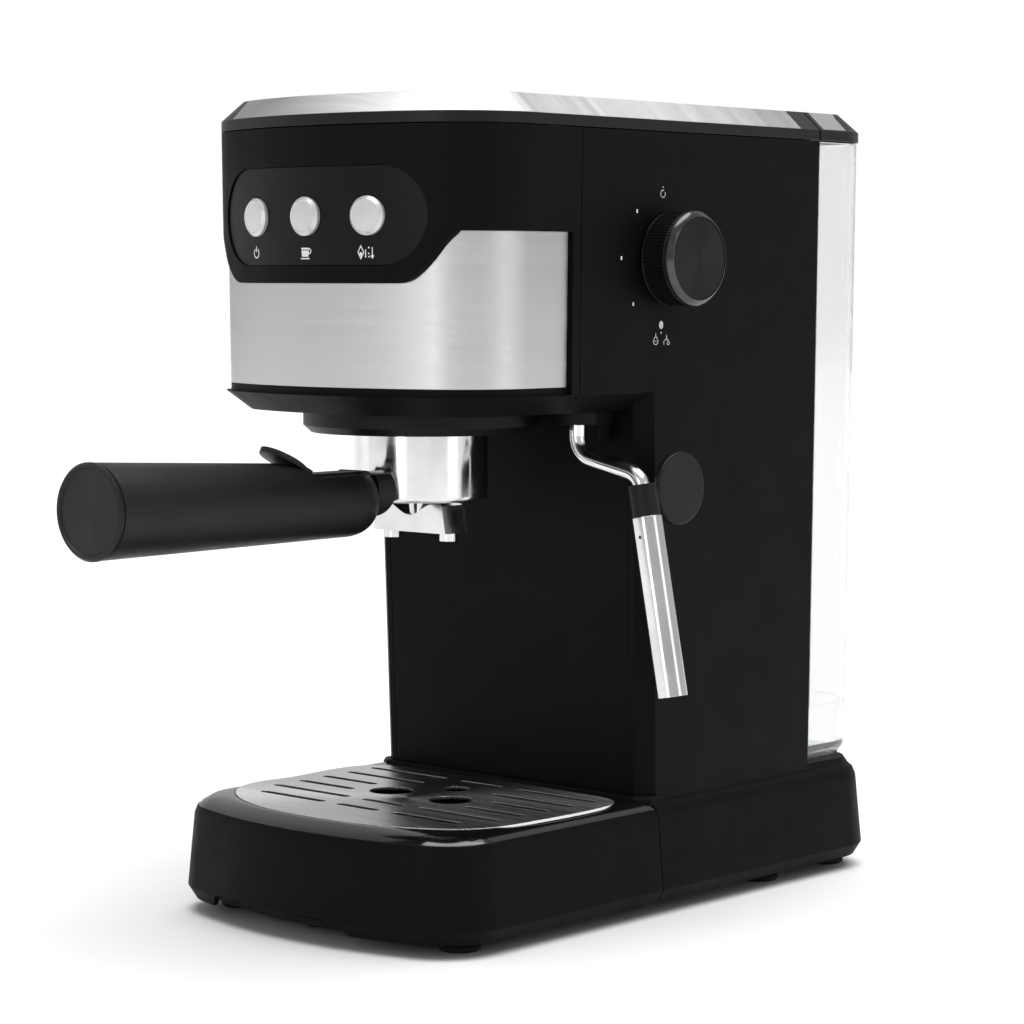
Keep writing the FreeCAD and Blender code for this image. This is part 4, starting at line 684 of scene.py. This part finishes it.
for k, (y, z, turn) in enumerate(((-18.8, 294.3, 0), (-28.4, 275.1, 0), (-20.5, 256.3, 0))):
    side_mark("dial_dash_%d" % (k + 1), stroke([(0, -0.75), (0, 0.75)], 0.9), y, z, WHITE_PRINT if k < 2 else SILVER_PRINT)
side_mark("dial_dot", disc_shape(0, 0, 1.35, 24, 1.25), -2.2, 247.6)
side_mark("dial_small_dot", disc_shape(0, 0, 0.4, 14), -2.1, 244.4)
side_mark("dial_top_icon", stroke(arc_pts(0, 0, 1.5, 65, 385, 24), 0.36) + disc_shape(0.0, 2.7, 0.28, 12), -2.2, 301.7)
side_mark("dial_water_icon", stroke([(-0.6, 1.0), (-1.55, -0.6), (-1.3, -1.6), (-0.5, -2.05), (0.5, -2.05), (1.3, -1.6), (1.55, -0.6), (0.6, 1.0)], 0.36, True)
          + stroke([(-0.7, -0.7), (0.7, -0.7)], 0.3) + stroke([(0, 1.3), (0, 2.5)], 0.42), -5.6, 241.6)
side_mark("dial_steam_icon", stroke([(-1.7, -2.0), (-1.7, -0.4)], 0.42) + stroke([(-1.2, -0.3), (0, 0.5), (1.2, -0.3)], 0.4) + stroke([(0, 0.4), (0, 2.0)], 0.42)
          + stroke(arc_pts(1.2, -1.3, 0.75, 0, 360, 16)[:-1], 0.34, True), 1.5, 241.4)


# ------------------------------------------------------------------ floor, light and camera
def floor_material():
    k = Kit("studio_floor_pale")
    k.color(k.ramp(k.noise(3.0, 4.0), [(0.3, grey(0.86)), (0.7, grey(0.88))]))
    k.rough(k.spread(k.noise(40.0, 3.0), 0.75, 0.9))
    k.set(spec=0.1)
    k.normal(k.bump(k.noise(600.0, 3.0), 0.03, 0.0001))
    return k.mat


me = bpy.data.meshes.new("studio_floor")
S = 6.0
me.from_pydata([(-S, -S, 0), (S, -S, 0), (S, S, 0), (-S, S, 0)], [], [(0, 1, 2, 3)])
me.materials.append(floor_material())
floor = bpy.data.objects.new("studio_floor", me)
scene.collection.objects.link(floor)

world = bpy.data.worlds.new("studio")
scene.world = world
world.use_nodes = True
wt = world.node_tree
wt.nodes.clear()
w_out = wt.nodes.new("ShaderNodeOutputWorld")
w_cam = wt.nodes.new("ShaderNodeBackground")
w_fill = wt.nodes.new("ShaderNodeBackground")
w_mix = wt.nodes.new("ShaderNodeMixShader")
w_path = wt.nodes.new("ShaderNodeLightPath")
w_cam.inputs[0].default_value = (1, 1, 1, 1)
w_cam.inputs[1].default_value = 1.0
w_fill.inputs[0].default_value = (0.97, 0.985, 1, 1)
w_fill.inputs[1].default_value = 0.30
w_see = wt.nodes.new("ShaderNodeMath")
w_see.operation = "MAXIMUM"
wt.links.new(w_path.outputs["Is Camera Ray"], w_see.inputs[0])
wt.links.new(w_path.outputs["Is Transmission Ray"], w_see.inputs[1])
w_gloss = wt.nodes.new("ShaderNodeMath")
w_gloss.operation = "MULTIPLY"
w_gloss.inputs[1].default_value = 0.42
wt.links.new(w_path.outputs["Is Glossy Ray"], w_gloss.inputs[0])
w_any = wt.nodes.new("ShaderNodeMath")
w_any.operation = "MAXIMUM"
wt.links.new(w_see.outputs[0], w_any.inputs[0])
wt.links.new(w_gloss.outputs[0], w_any.inputs[1])
wt.links.new(w_any.outputs[0], w_mix.inputs[0])
wt.links.new(w_fill.outputs[0], w_mix.inputs[1])
wt.links.new(w_cam.outputs[0], w_mix.inputs[2])
wt.links.new(w_mix.outputs[0], w_out.inputs[0])


def area(name, loc, target, size, power, size_y=None, color=(1, 1, 1)):
    d = bpy.data.lights.new(name, "AREA")
    d.energy = power
    d.size = size
    d.color = color
    if size_y:
        d.shape = "RECTANGLE"
        d.size_y = size_y
    o = bpy.data.objects.new(name, d)
    scene.collection.objects.link(o)
    o.location = loc
    o.rotation_euler = (Vector(target) - Vector(loc)).to_track_quat("-Z", "Y").to_euler()
    o.visible_camera = False
    return o


sun = bpy.data.lights.new("overhead_soft_sun", "SUN")
sun.energy = 3.65
sun.angle = math.radians(62.0)
sun_o = bpy.data.objects.new("overhead_soft_sun", sun)
scene.collection.objects.link(sun_o)
sun_o.rotation_euler = (math.radians(-6.0), math.radians(5.0), 0)
area("front_softbox", (0.30, -1.80, 0.55), (0, 0, 0.22), 0.5, 4.0, 1.2)
area("left_softbox", (-1.55, -0.75, 0.6), (0, 0, 0.22), 0.7, 0.7, 1.2)
area("right_softbox", (1.75, 0.25, 0.65), (0.05, 0.05, 0.2), 0.6, 2.6, 1.3)

scene.view_settings.view_transform = "Standard"
scene.view_settings.look = "None"

cam_data = bpy.data.cameras.new("camera")
cam_data.sensor_fit = "HORIZONTAL"
cam_data.sensor_width = 36.0
cam_data.lens = 3000.0 / 1024.0 * 36.0
cam_data.clip_start = 0.05
cam_data.clip_end = 50.0
cam = bpy.data.objects.new("camera", cam_data)
scene.collection.objects.link(cam)
az, pitch, roll = math.radians(41.896), math.radians(4.461), math.radians(0.073)
fwd = Vector((-math.sin(az) * math.cos(pitch), math.cos(az) * math.cos(pitch), -math.sin(pitch)))
right = Vector((math.cos(az), math.sin(az), 0))
up = right.cross(fwd)
r2 = right * math.cos(roll) + up * math.sin(roll)
u2 = up * math.cos(roll) - right * math.sin(roll)
m = Matrix((r2, u2, -fwd)).transposed().to_4x4()
m.translation = Vector((0.8662435, -0.9709806, 0.2669440))
cam.matrix_world = m
scene.camera = cam
